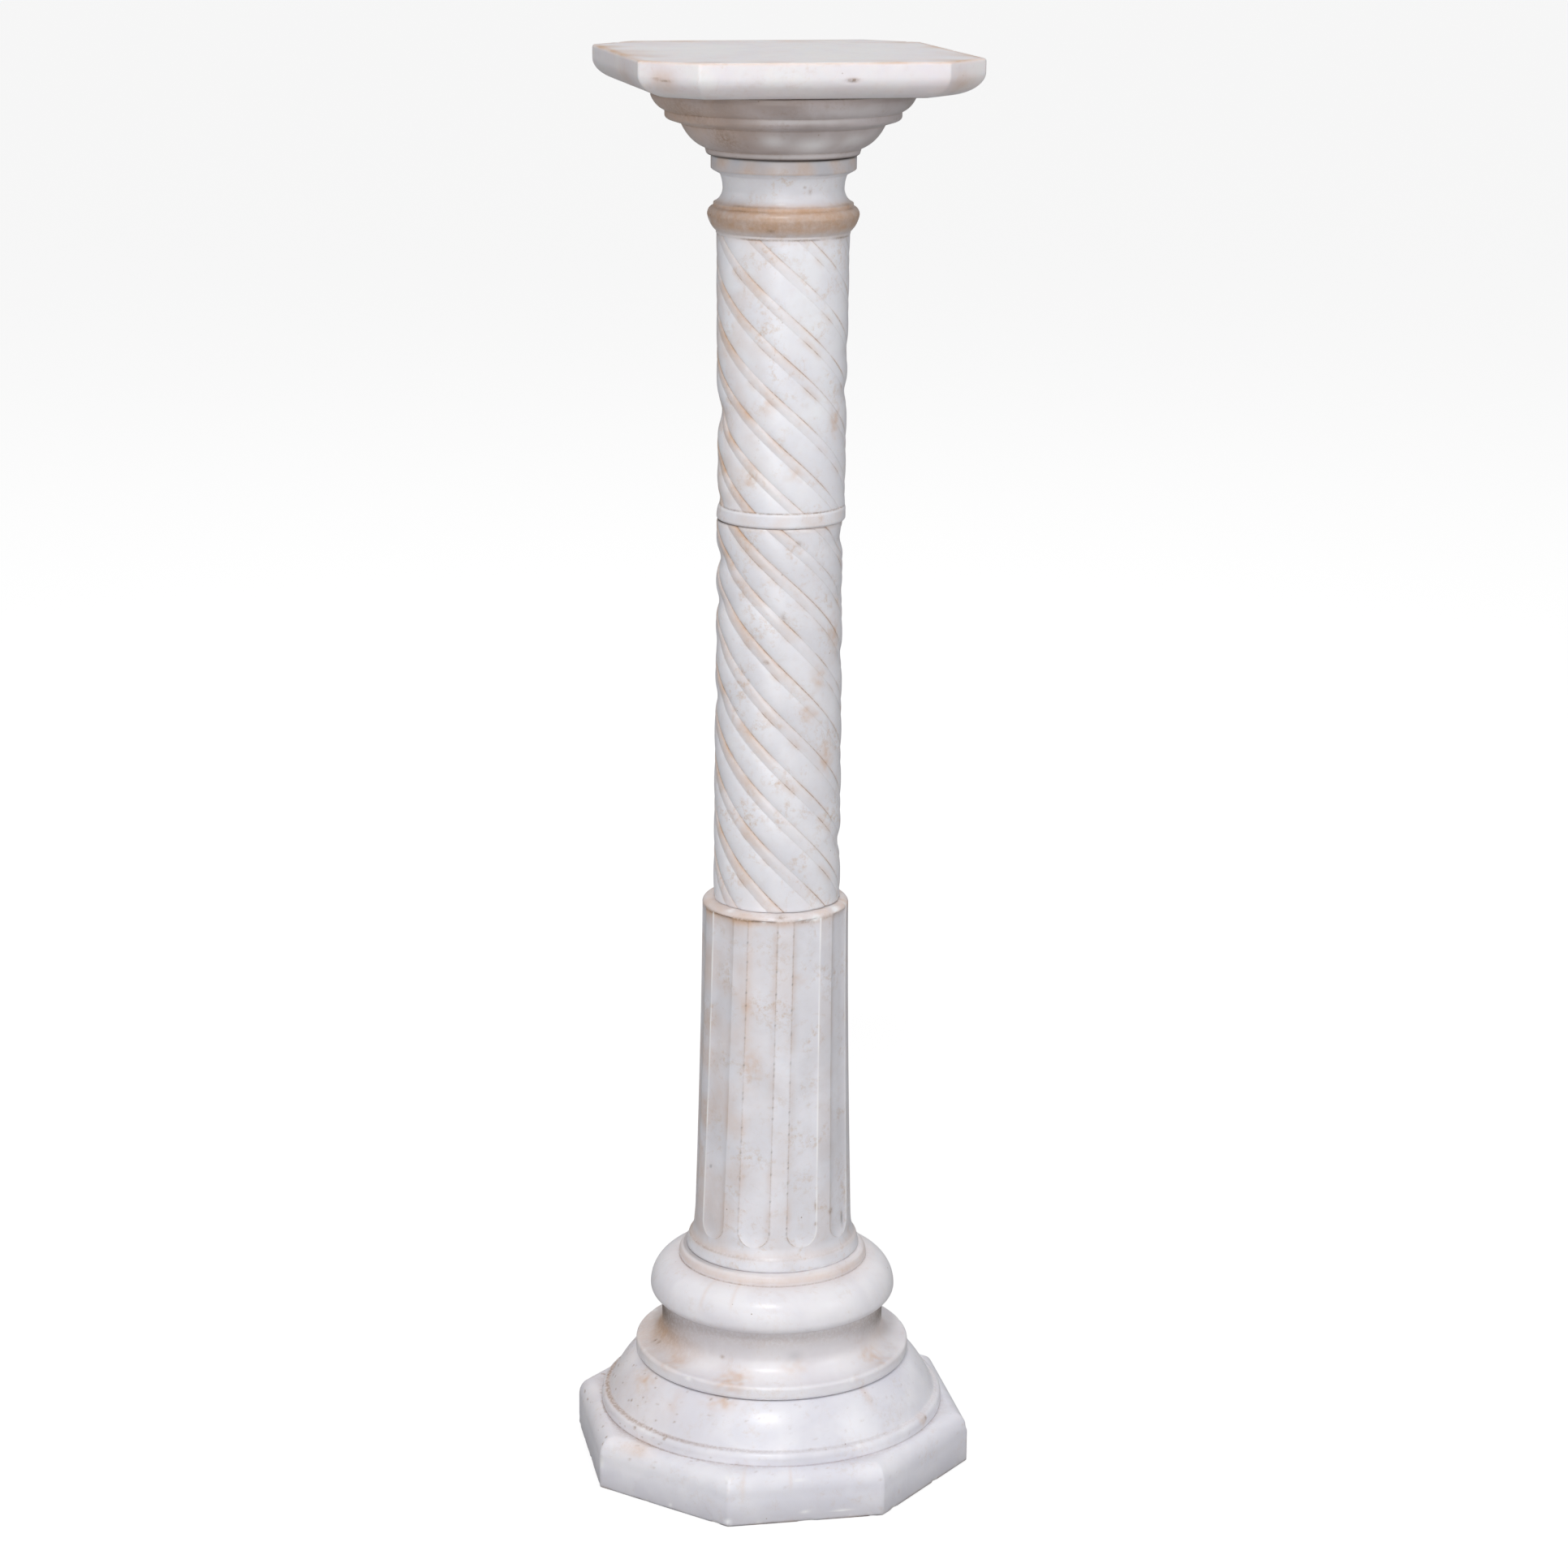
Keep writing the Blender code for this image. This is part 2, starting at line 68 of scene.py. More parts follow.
def curve(start, end, pull, steps=16):
    """Points after start on a bow to end. Its pull says what share of the way across and up its bend lies."""
    bend = [start[k] + (end[k] - start[k]) * pull[k] for k in (0, 1)]
    points = []
    for step in range(1, steps + 1):
        t = step / steps
        mix = ((1 - t) ** 2, 2 * t * (1 - t), t * t)
        points.append(tuple(mix[0] * start[k] + mix[1] * bend[k] + mix[2] * end[k] for k in (0, 1)))
    return points


def quarter(start, end, leaves, steps=16):
    """Points after start on a quarter of an ellipse, which leaves start out along the radius or up."""
    points = []
    for step in range(1, steps + 1):
        across, up = sin(pi / 2 * step / steps), 1 - cos(pi / 2 * step / steps)
        if leaves == "up":
            across, up = up, across
        points.append((start[0] + (end[0] - start[0]) * across, start[1] + (end[1] - start[1]) * up))
    return points


def worn(outline, spacing, wear):
    """The outline with evenly spaced points, in millimetres, its corners rubbed round over that length."""
    points = np.array(outline, float)
    along = np.concatenate([[0], np.cumsum(np.hypot(*np.diff(points, axis=0).T))])
    count = max(8, int(along[-1] / spacing))
    even = np.linspace(0, along[-1], count)
    fine = np.stack([np.interp(even, along, points[:, k]) for k in (0, 1)], axis=1)
    reach = max(1, int(3 * wear / spacing))
    weights = np.exp(-0.5 * (np.arange(-reach, reach + 1) * spacing / wear) ** 2)
    weights /= weights.sum()
    before = 2 * fine[0] - fine[reach:0:-1]
    after = 2 * fine[-1] - fine[-2 : -reach - 2 : -1]
    padded = np.concatenate([before, fine, after])
    return np.stack([np.convolve(padded[:, k], weights, "valid") for k in (0, 1)], axis=1)


def turned(outline, angles):
    """Grid of points, one row for each (radius, height) of the outline."""
    outline = np.asarray(outline, float)
    radius = outline[:, :1]
    height = np.repeat(outline[:, 1:2], len(angles), axis=1)
    return np.stack([radius * np.cos(angles), radius * np.sin(angles), height], axis=2)


def turn_gap(angle, centre):
    """Angle from centre, wrapped to half a turn each way."""
    return (angle - centre + pi) % (2 * pi) - pi


def azimuth_of(grid):
    """Angle of each point round the axis, nought at the column's front and growing to the right."""
    return turn_gap(np.arctan2(grid[:, :, 1], grid[:, :, 0]), FRONT)


def to_side(grid, side):
    """How far each point is turned from the front to the left or the right, from 0 to 1."""
    return np.clip(side * np.sin(azimuth_of(grid)), 0, 1)


def wander(grid, period, seed):
    """Slow random swing from -1 to 1 at each point of the grid, with that period in millimetres."""
    shift = seed * 7.3
    flat = grid.reshape(-1, 3) / period + shift
    return np.array([noise.noise(point) for point in flat.tolist()]).reshape(grid.shape[:2])


def patchy(grid, period, seed, middle, swing):
    """Uneven strength from 0 to 1, which swings round its middle over that period in millimetres."""
    return np.clip(middle + swing * wander(grid, period, seed), 0, 1)


def hand_cut(grid, most, period, seed):
    """Loss from work by hand, from nought to most, over that period in millimetres."""
    return most * (1 + wander(grid, period, seed)) / 2


def cut_in(grid, loss):
    """Moves each point in towards the axis, by that share of its radius."""
    grid[:, :, :2] *= (1 - loss)[:, :, None]


def bump_at(value, centre, width):
    """One where the value is at the centre, and down to about a third of that a width away."""
    return np.exp(-(((value - centre) / width) ** 2))


def in_line(outline, places, width):
    """How near each row of the outline lies to a groove. Each of places is (radius, height, strength)."""
    mark = np.zeros((len(outline), 1))
    for radius, height, strength in places:
        gap = np.hypot(outline[:, :1] - radius, outline[:, 1:2] - height)
        mark = np.maximum(mark, strength * bump_at(gap, 0, width))
    return mark


def spots(grid, places):
    """Soft marks, each (azimuth in degrees, height, half its width, half its height, strength)."""
    azimuth = azimuth_of(grid)
    radius = np.hypot(grid[:, :, 0], grid[:, :, 1])
    mark = np.zeros(radius.shape)
    for degrees, height, wide, tall, strength in places:
        across = turn_gap(azimuth, radians(degrees)) * radius / wide
        up = (grid[:, :, 2] - height) / tall
        mark += strength * np.exp(-(across**2) - up**2)
    return mark


def blotches(grid, places, seed):
    """Marks placed as spots are, broken up into blots a few millimetres across."""
    return spots(grid, places) * patchy(grid, 4.5, seed, 0.55, 0.7)


def stone(name, grid, material, marks, off_centre=0.0):
    """A closed mesh over a grid of rows, foot to top, in millimetres. marks are its attributes by name."""
    rows, columns = grid.shape[:2]
    lid = [grid[0].mean(axis=0), grid[-1].mean(axis=0)]
    points = np.concatenate([grid.reshape(-1, 3), lid]) * MM
    points[:, 0] += off_centre * MM
    row, column = np.meshgrid(np.arange(rows - 1), np.arange(columns), indexing="ij")
    low = row * columns + column
    low_next = row * columns + (column + 1) % columns
    quads = np.stack([low, low_next, low_next + columns, low + columns], axis=-1).reshape(-1, 4)
    ring = np.arange(columns)
    following = (ring + 1) % columns
    top = (rows - 1) * columns
    under = np.stack([following, ring, np.full(columns, rows * columns)], axis=1)
    over = np.stack([top + ring, top + following, np.full(columns, rows * columns + 1)], axis=1)
    mesh = bpy.data.meshes.new(name)
    mesh.from_pydata(points.tolist(), [], quads.tolist() + under.tolist() + over.tolist())
    for mark, values in marks.items():
        values = np.clip(np.broadcast_to(values, (rows, columns)), 0, 1)
        ends = [values[0].mean(), values[-1].mean()]
        filled = np.concatenate([values.ravel(), ends]).astype(np.float32)
        mesh.attributes.new(mark, "FLOAT", "POINT").data.foreach_set("value", filled)
    mesh.shade_smooth()
    mesh.set_sharp_from_angle(angle=SHARP_EDGE)
    piece = bpy.data.objects.new(name, mesh)
    bpy.context.scene.collection.objects.link(piece)
    mesh.materials.append(material)
    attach(piece, "root")
    return piece


def linear(code):
    """sRGB hex to linear RGBA."""
    parts = [int(code[k : k + 2], 16) / 255 for k in (0, 2, 4)]
    return (*[p / 12.92 if p <= 0.04045 else ((p + 0.055) / 1.055) ** 2.4 for p in parts], 1)


def add(tree, kind, inputs, **settings):
    """A node of that kind. Each input takes a value or another node's output."""
    made = tree.nodes.new(kind)
    for name, value in settings.items():
        setattr(made, name, value)
    for name, value in inputs.items():
        if isinstance(value, bpy.types.NodeSocket):
            tree.links.new(value, made.inputs[name])
        else:
            made.inputs[name].default_value = value
    return made


def polished_alabaster(name, light, shade, tan, cloudiness=0.6, tan_share=0.3, glow=0.2):
    """Polished alabaster: milky, cloudy and slightly see-through, with tan patches, faint veins and small
    dark pits. Dirt lies where the carving holds it, with tan stain round it, and knocks left white bruises.
    A grey layer is painted shade, and on some pieces the white layer also carries painted highlights."""
    material = bpy.data.materials.new(name)
    material.use_nodes = True
    tree = material.node_tree
    shader = tree.nodes["Principled BSDF"]
    place = add(tree, "ShaderNodeTexCoord", {}).outputs["Object"]

    # Random patterns, by the size in millimetres that each repeats over, its detail, roughness and swirl.
    patterns = {}
    for pattern, size, detail, roughness, swirl in (
        ("cloud", 46, 3, 0.55, 0.4),
        ("patch", 24, 3, 0.55, 0.3),
        ("fleck", 5, 5, 0.75, 0.0),
        ("vein", 110, 5, 0.55, 1.4),
        ("smudge", 9, 4, 0.65, 0.0),
        ("speck", 2.4, 3, 0.7, 0.0),
        ("polish", 7, 3, 0.5, 0.0),
    ):
        inputs = {"Vector": place, "Scale": 1 / (size * MM), "Detail": detail}
        inputs |= {"Roughness": roughness, "Distortion": swirl}
        patterns[pattern] = add(tree, "ShaderNodeTexNoise", inputs).outputs["Fac"]
    off_middle = add(tree, "ShaderNodeMath", {0: patterns["vein"], 1: 0.5}, operation="SUBTRACT")
    patterns["vein"] = add(tree, "ShaderNodeMath", {0: off_middle.outputs[0]}, operation="ABSOLUTE").outputs[0]
    pit_gap = 13 * MM
    cells = add(tree, "ShaderNodeTexVoronoi", {"Vector": place, "Scale": 1 / pit_gap})
    patterns["pit"] = cells.outputs["Distance"]

    # How much of each finish shows, from where a pattern runs low or high.
    shares = {}
    for share, low, high, least, most in (
        ("cloud", 0.38, 0.62, 0.0, cloudiness),
        ("patch", 0.50, 0.66, 0.12, 1.0),
        ("fleck", 0.48, 0.66, 0.0, tan_share),
        ("vein", 0.0, 0.010, 0.5, 0.0),
        ("smudge", 0.34, 0.62, 0.66, 1.0),
        ("speck", 0.36, 0.58, 0.3, 1.0),
        ("pit", 0.03, 0.055, 1.0, 0.0),
    ):
        inputs = {"Value": patterns[share], "From Min": low, "From Max": high, "To Min": least, "To Max": most}
        shares[share] = add(tree, "ShaderNodeMapRange", inputs).outputs[0]
    marks = {}
    for mark in ("stain", "painted_shade", "dirt", "joint", "chip"):
        marks[mark] = add(tree, "ShaderNodeAttribute", {}, attribute_name=mark).outputs["Fac"]
    pit_place = {"Value": patterns["smudge"], "From Min": 0.52, "From Max": 0.60, "To Max": 0.8}
    pit_share = add(tree, "ShaderNodeMapRange", pit_place).outputs[0]
    for share, first, second in (
        ("vein", shares["vein"], shares["fleck"]),
        ("fleck", shares["fleck"], shares["patch"]),
        ("stain", marks["stain"], shares["smudge"]),
        ("dirt", marks["dirt"], shares["speck"]),
        ("pit", shares["pit"], pit_share),
    ):
        product = add(tree, "ShaderNodeMath", {0: first, 1: second}, operation="MULTIPLY", use_clamp=True)
        shares[share] = product.outputs[0]

    # The finishes lie over each other in this order.
    body = linear(light)
    for share, colour in (
        (shares["cloud"], shade),
        (shares["fleck"], tan),
        (shares["vein"], "C9A98C"),
        (shares["stain"], "D6B192"),
        # Grey painted shade, laid where the pieces should look shaded.
        (marks["painted_shade"], "9E9AA0"),
        (shares["dirt"], "94714F"),
        (shares["pit"], "84684F"),
        (marks["joint"], "3A2C22"),
        (marks["chip"], "FBFAFB"),
    ):
        body = add(tree, "ShaderNodeMix", {0: share, 6: body, 7: linear(colour)}, data_type="RGBA").outputs[2]
    tree.links.new(body, shader.inputs["Base Color"])

    # The polish is duller on dirt and on the white marks, bruises and painted highlights alike.
    dull = add(tree, "ShaderNodeMath", {0: shares["dirt"], 1: marks["chip"]}, operation="MAXIMUM")
    rough_range = {"Value": dull.outputs[0], "To Min": 0.31, "To Max": 0.55}
    tree.links.new(add(tree, "ShaderNodeMapRange", rough_range).outputs[0], shader.inputs["Roughness"])
    shader.inputs["IOR"].default_value = 1.52
    shader.inputs["Subsurface Weight"].default_value = glow
    shader.inputs["Subsurface Radius"].default_value = (4 * MM, 3.4 * MM, 3 * MM)
    shader.inputs["Subsurface Scale"].default_value = 1.0

    # The hand polish leaves the surface very slightly uneven, and the pits are hollow.
    uneven = {0: shares["pit"], 1: -1.5, 2: patterns["polish"]}
    height = add(tree, "ShaderNodeMath", uneven, operation="MULTIPLY_ADD")
    bump = add(tree, "ShaderNodeBump", {"Height": height.outputs[0], "Strength": 0.25, "Distance": 0.4 * MM})
    tree.links.new(bump.outputs[0], shader.inputs["Normal"])
    return material


def cornered_ring(half, corner, height, long_side, short_side):
    """Points round a square with its corners cut off, from its +X side on, with so many steps to a long
    side and to a cut. corner is how far the cut is from the axis."""
    reach = corner * sqrt(2) - half
    corners = [(half, -reach), (half, reach), (reach, half), (-reach, half)]
    corners += [(-half, reach), (-half, -reach), (-reach, -half), (reach, -half)]
    points = []
    for side, (x, y) in enumerate(corners):
        end_x, end_y = corners[(side + 1) % 8]
        count = short_side if side % 2 else long_side
        for step in range(count):
            points.append((x + (end_x - x) * step / count, y + (end_y - y) * step / count, height))
    return points


PLINTH_HALF = 143
PLINTH_SHOULDER_FOOT = 25
PLINTH_SHOULDER = 11
PLINTH_BLOCK_TOP = 39.6
PLINTH_RING_RADIUS = 131.8
PLINTH_RING_TOP = 50
BELL_FOOT_RADIUS = 126
BELL_TOP_RADIUS = 102.6
PLINTH_TOP = 80.2
PLINTH_SIDE_STEPS = 52

plinth_edge = [(-0.8, 0), (0, 0.5), (0, PLINTH_SHOULDER_FOOT)]
plinth_edge += quarter(plinth_edge[-1], (-PLINTH_SHOULDER, PLINTH_BLOCK_TOP), "up")
plinth_edge = worn(plinth_edge, 1.0, 0.6)
plinth_outline = [(PLINTH_RING_RADIUS - 0.6, PLINTH_BLOCK_TOP), (PLINTH_RING_RADIUS, PLINTH_BLOCK_TOP + 1)]
plinth_outline.append((PLINTH_RING_RADIUS, PLINTH_RING_TOP - 5))
plinth_outline += quarter(plinth_outline[-1], (BELL_FOOT_RADIUS + 1.5, PLINTH_RING_TOP), "up")
plinth_outline.append((BELL_FOOT_RADIUS, PLINTH_RING_TOP + 0.3))
plinth_outline += curve(plinth_outline[-1], (BELL_TOP_RADIUS, PLINTH_TOP), (0.5, 0.825))
plinth_outline = worn(plinth_outline, 0.8, 0.35)
plinth_block = []
for inset, z in plinth_edge:
    half = PLINTH_HALF + inset
    plinth_block.append(cornered_ring(half, half, z, PLINTH_SIDE_STEPS, PLINTH_SIDE_STEPS))
plinth_block = np.array(plinth_block)
plinth_angles = np.arctan2(plinth_block[0, :, 1], plinth_block[0, :, 0])
plinth_grid = np.concatenate([plinth_block, turned(plinth_outline, plinth_angles)])
plinth_z = plinth_grid[:, :, 2]
plinth_radius = np.hypot(plinth_grid[:, :, 0], plinth_grid[:, :, 1])
plinth_left = to_side(plinth_grid, LEFT)
plinth_corner = bump_at(plinth_radius, PLINTH_HALF / cos(pi / 8), 1.2) * (plinth_z < PLINTH_SHOULDER_FOOT + 8)
plinth_knocks = patchy(plinth_grid, 7, 2, -0.75, 3) * bump_at(plinth_z, 0, 2.5)
plinth_knocks += patchy(plinth_grid, 6, 31, -1.26, 3) * bump_at(plinth_z, PLINTH_RING_TOP - 2, 2)
plinth_knocks += patchy(plinth_grid, 10, 32, -0.3, 3) * plinth_corner
cut_in(plinth_grid, hand_cut(plinth_grid, 0.0012, 35, 1) + 0.9 * plinth_knocks / plinth_radius)
plinth_groove = bump_at(plinth_z, PLINTH_BLOCK_TOP + 0.3, 0.6) * (plinth_radius < PLINTH_RING_RADIUS + 0.8)
plinth_specks = patchy(plinth_grid, 3.2, 33, -3.12, 6) * (plinth_z > PLINTH_SHOULDER_FOOT + 1)
plinth_blotches = [(-61, 74, 14, 7, 0.6), (-40, 70, 6, 9, 0.3), (-20.5, 77, 13, 4, 0.8), (62, 46, 5, 4, 0.8)]
plinth_runs = [(-8, 32, 1.6, 9, 0.3), (6, 34, 1.2, 7, 0.25), (41.5, 76, 3, 7, 0.3), (-46, 37, 11, 4, 0.45)]
plinth_chips = [(21.7, 7, 7, 0.7, 0.9), (10.4, 7.8, 3, 1.2, 0.8), (8.7, 33, 4, 0.9, 0.7)]
plinth_chips += [(-12.6, 36.8, 1.6, 1.6, 0.7), (-31.7, 3.5, 1.4, 1.4, 0.7)]
plinth_marks = {
    "dirt": 0.55 * plinth_groove * (0.5 + 0.5 * plinth_left)
    + 0.75 * bump_at(plinth_z, PLINTH_RING_TOP, 0.6) * (0.25 + 0.75 * plinth_left)
    + 0.8 * plinth_specks * (0.25 + 0.75 * plinth_left)
    + 0.8 * bump_at(plinth_z, 0, 1.4) * patchy(plinth_grid, 18, 34, 0.7, 2.5)
    + spots(plinth_grid, [(64, 47, 1.8, 1.8, 0.9), (-52, 47.5, 1.4, 1.2, 0.9), (-38, 48.5, 1.2, 1, 0.9)]),
    "joint": 0.25 * bump_at(plinth_z, PLINTH_TOP, 0.5)
    + 0.8 * bump_at(plinth_z, 0, 1) * np.maximum(patchy(plinth_grid, 22, 35, 0.45, 2), 0.2),
    # Painted shade: the faces are painted greyer towards the floor.
    "painted_shade": 0.42 * np.clip(1 - plinth_z / 19, 0, 1),
    "stain": 0.22 * plinth_left**2 * bump_at(plinth_z, 60, 28)
    + blotches(plinth_grid, plinth_blotches, 41)
    + spots(plinth_grid, plinth_runs),
    "chip": 0.8 * plinth_knocks + spots(plinth_grid, plinth_chips),
}
plinth_stone = polished_alabaster("polished_white_alabaster_plinth", "F0EFF5", "DDDCE6", "D2BFB0")
plinth = stone("carved_plinth", plinth_grid, plinth_stone, plinth_marks)
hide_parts("plinth")

# The base moulding is one turned piece that sits on the bell: a lip, a cove, an upright throat, the large
# torus and a low collar. The throat and cove are painted darkest of the whole column: painted shade under
# the torus, much darker at the sides, over real dirt at the left.
BASE_FOOT = PLINTH_TOP + JOINT_GAP
LIP_RADIUS = 105.2
LIP_TOP = 91.6
THROAT_RADIUS = 85
THROAT_FOOT = 106
THROAT_MIDDLE = 116
TORUS_FOOT = 127.3
TORUS_MIDDLE = 135
TORUS_RADIUS = 93.8
COLLAR_FOOT = 158.8
COLLAR_RADIUS = 71.9
BASE_TOP = 167.2
BASE_MEAN_RADIUS = 100
BASE_COLUMNS = 400

base_outline = [(BELL_TOP_RADIUS, BASE_FOOT), (LIP_RADIUS - 0.5, BASE_FOOT + 1.3), (LIP_RADIUS, BASE_FOOT + 3.1)]
base_outline.append((LIP_RADIUS - 0.1, LIP_TOP - 2.6))
base_outline += quarter(base_outline[-1], (LIP_RADIUS - 2.8, LIP_TOP), "up", 8)
base_outline += quarter(base_outline[-1], (THROAT_RADIUS, THROAT_FOOT), "out", 24)
base_outline.append((THROAT_RADIUS, TORUS_FOOT))
base_outline += quarter(base_outline[-1], (TORUS_RADIUS, TORUS_MIDDLE), "out", 20)
base_outline += quarter(base_outline[-1], (COLLAR_RADIUS - 0.3, COLLAR_FOOT), "up", 30)
base_outline += [(COLLAR_RADIUS, COLLAR_FOOT + 0.8), (COLLAR_RADIUS - 0.1, BASE_TOP - 4.7)]
base_outline += [(COLLAR_RADIUS - 1.3, BASE_TOP - 1.7), (COLLAR_RADIUS - 3.6, BASE_TOP)]
base_outline = worn(base_outline, 0.75, 0.35)
base_grid = turned(base_outline, np.linspace(0, 2 * pi, BASE_COLUMNS, endpoint=False))
base_z = base_grid[:, :, 2]
base_limb_shade = np.abs(np.sin(azimuth_of(base_grid)))
base_left = to_side(base_grid, LEFT)
base_knocks = patchy(base_grid, 6, 4, -1.26, 3) * bump_at(base_z, LIP_TOP - 1.5, 2)
base_pits = spots(base_grid, [(-26, 104, 1.6, 1.2, 0.8), (-72, 95, 1.2, 1, 0.9), (-76, 94, 1.2, 1, 0.9)])
cut_in(base_grid, hand_cut(base_grid, 0.002, 45, 3) + (0.8 * base_knocks + 0.6 * base_pits) / BASE_MEAN_RADIUS)
base_reach = np.hypot(base_grid[:, :, 0], base_grid[:, :, 1])
base_groove = in_line(base_outline, [(COLLAR_RADIUS - 0.1, COLLAR_FOOT + 0.2, 1)], 0.6)
base_blotches = [(-17.5, 91, 12, 6, 0.9), (12, 100, 10, 5, 0.4), (-50, 94, 10, 5, 0.5), (57, 95, 11, 5, 0.7)]
# Painted shade: the throat under the torus is darkened all round by dirt and grey. It is darkened much more at the
# column's left and right sides by dirt, joint and stain marks that grow towards the sides. The dirt at the left,
# in the collar's groove and in the pits is real.
base_marks = {
    "dirt": 0.22 * bump_at(base_z, THROAT_MIDDLE + 6, 6) * (base_reach < THROAT_RADIUS + 3)
    + 0.6 * bump_at(base_z, THROAT_MIDDLE, 9) * base_limb_shade**8
    + 0.7 * base_groove * (0.6 + 0.4 * base_left)
    + 0.45 * bump_at(base_z, THROAT_FOOT, 12) * base_left**4
    + 0.9 * base_pits,
    "joint": 0.4 * bump_at(base_z, BASE_FOOT, 0.5) * base_left
    + 0.75 * bump_at(base_z, THROAT_MIDDLE + 2, 8) * base_limb_shade**14
    + 0.4 * bump_at(base_z, BASE_TOP, 0.5) * base_left,
    "painted_shade": 0.27 * bump_at(base_z, THROAT_MIDDLE, 11) + spots(base_grid, [(12.1, 108, 6, 4, 0.25)]),
    "stain": 0.08 * bump_at(base_z, THROAT_MIDDLE - 4, 14)
    + 0.75 * bump_at(base_z, THROAT_FOOT - 4, 11) * base_left**4
    + 0.35 * bump_at(base_z, THROAT_FOOT - 2, 8) * base_limb_shade**6
    + 0.40 * bump_at(base_z, COLLAR_FOOT + 4.2, 4)
    + spots(base_grid, [(-36, 152, 1.6, 9, 0.25), (-20, 154, 1.4, 8, 0.22)])
    + blotches(base_grid, base_blotches, 42),
    "chip": 0.7 * base_knocks,
}
base_stone = polished_alabaster("polished_white_alabaster_base", "F2F0F4", "E2DFE6", "D6C2B2")
base = stone("turned_base_moulding", base_grid, base_stone, base_marks)
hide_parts("base_moulding")

# The drum is a tapering piece of greyer alabaster with ten shallow flutes, cut with a gouge and ended
# with a round scoop above a flared foot. Brown pits follow some of the flutes' edges and tan lies inside
# others, and the rounded ledge under the twisted shaft is stained all round, and chipped.
DRUM_FOOT = BASE_TOP + JOINT_GAP
DRUM_FLARE_TOP = 177.2
DRUM_BODY_FOOT = 184.7
DRUM_LEDGE = 440.8
DRUM_TOP = 445.2
DRUM_FOOT_RADIUS = 60.6
DRUM_TOP_RADIUS = 55.0
DRUM_LEDGE_RADIUS = 49.2
DRUM_MEAN_RADIUS = 60
DRUM_ROWS = 40
FLUTES = 10
FLUTE_SHARE = 0.65
FLUTE_DEPTH = 2.0
FLUTE_START = radians(28.9)
FLUTE_DRIFT = radians(5)
FLUTE_COLUMNS = 25
FILLET_COLUMNS = 9
FAR_OFF = 99
# White lines along some flute edges are partly bruised arrises and partly painted highlight where the edge faces
# the light.
BRUISED_AND_HIGHLIGHT_EDGES = ((5, LEFT), (7, RIGHT), (8, RIGHT), (1, LEFT))
PITTED_EDGES = ((6, LEFT), (6, RIGHT), (7, LEFT), (2, RIGHT), (0, LEFT))
TANNED_EDGES = ((5, RIGHT), (6, LEFT), (6, RIGHT), (7, LEFT), (8, LEFT), (3, RIGHT))

drum_outline = [(65.4, DRUM_FOOT), (66.4, DRUM_FOOT + 1.1), (64.3, DRUM_FLARE_TOP - 0.6), (63.4, DRUM_FLARE_TOP)]
drum_outline += curve(drum_outline[-1], (DRUM_FOOT_RADIUS, DRUM_BODY_FOOT), (0.75, 0.45))
for step in range(1, DRUM_ROWS + 1):
    share = 1 - step / DRUM_ROWS
    radius = DRUM_TOP_RADIUS + (DRUM_FOOT_RADIUS - DRUM_TOP_RADIUS) * share**1.5
    drum_outline.append((radius, DRUM_LEDGE - (DRUM_LEDGE - DRUM_BODY_FOOT) * share))
drum_outline += quarter(drum_outline[-1], (DRUM_LEDGE_RADIUS, DRUM_TOP), "up")
drum_outline = worn(drum_outline, 1.25, 0.35)

# Each column stands from -1 to 1 across a flute, or from 1 to 2 across the fillet to its right.
drum_pitch = 2 * pi / FLUTES
half_flute = drum_pitch * FLUTE_SHARE / 2
flute_end = DRUM_FOOT_RADIUS * sin(half_flute)
flute_spring = DRUM_BODY_FOOT + flute_end
in_flute = -np.cos(np.linspace(0, pi, FLUTE_COLUMNS))
on_fillet = 1.5 - 0.5 * np.cos(np.linspace(0, pi, FILLET_COLUMNS + 2)[1:-1])
across = np.tile(np.concatenate([in_flute, on_fillet]), FLUTES)
flute = np.repeat(np.arange(FLUTES), len(across) // FLUTES)
inside = np.abs(across) <= 1
drum_radius, drum_height = drum_outline[:, :1], drum_outline[:, 1:2]
below = np.clip((flute_spring - drum_height) / flute_end, 0, 0.995)
opening = np.sqrt(1 - below**2)
fluted = (drum_height > DRUM_BODY_FOOT) & (drum_height < DRUM_LEDGE - 0.4)
rise = np.clip((drum_height - DRUM_BODY_FOOT) / (DRUM_LEDGE - DRUM_BODY_FOOT), 0, 1)
middle = FLUTE_START + FLUTE_DRIFT * rise + drum_pitch * flute
fillet_offset = half_flute * opening + (drum_pitch - 2 * half_flute * opening) * (across - 1)
offset = np.where(inside, half_flute * opening * across, fillet_offset)
hollow_share = 1 - ((offset / half_flute) ** 2 + below**2) ** 1.4
hollow = FLUTE_DEPTH * np.clip(hollow_share, 0, 1) * fluted * inside
drum_angle = middle + offset
drum_reach = drum_radius - hollow
drum_z = np.repeat(drum_height, len(across), axis=1)
drum_grid = np.stack([drum_reach * np.cos(drum_angle), drum_reach * np.sin(drum_angle), drum_z], axis=2)
from_middle = np.where(inside, np.abs(offset), np.minimum(offset, drum_pitch - offset))
from_edge = np.where(fluted, np.abs(from_middle - half_flute * opening) * drum_radius, FAR_OFF)
nearest_flute = np.where(across > 1.5, (flute + 1) % FLUTES, flute)
nearest_side = np.where((across > 1.5) | (across < 0), LEFT, RIGHT)


def beside(edges):
    """One at each column whose nearest flute edge is listed, each as (flute, side)."""
    listed = np.zeros(len(across))
    for number, side in edges:
        listed[(nearest_flute == number) & (nearest_side == side)] = 1
    return listed


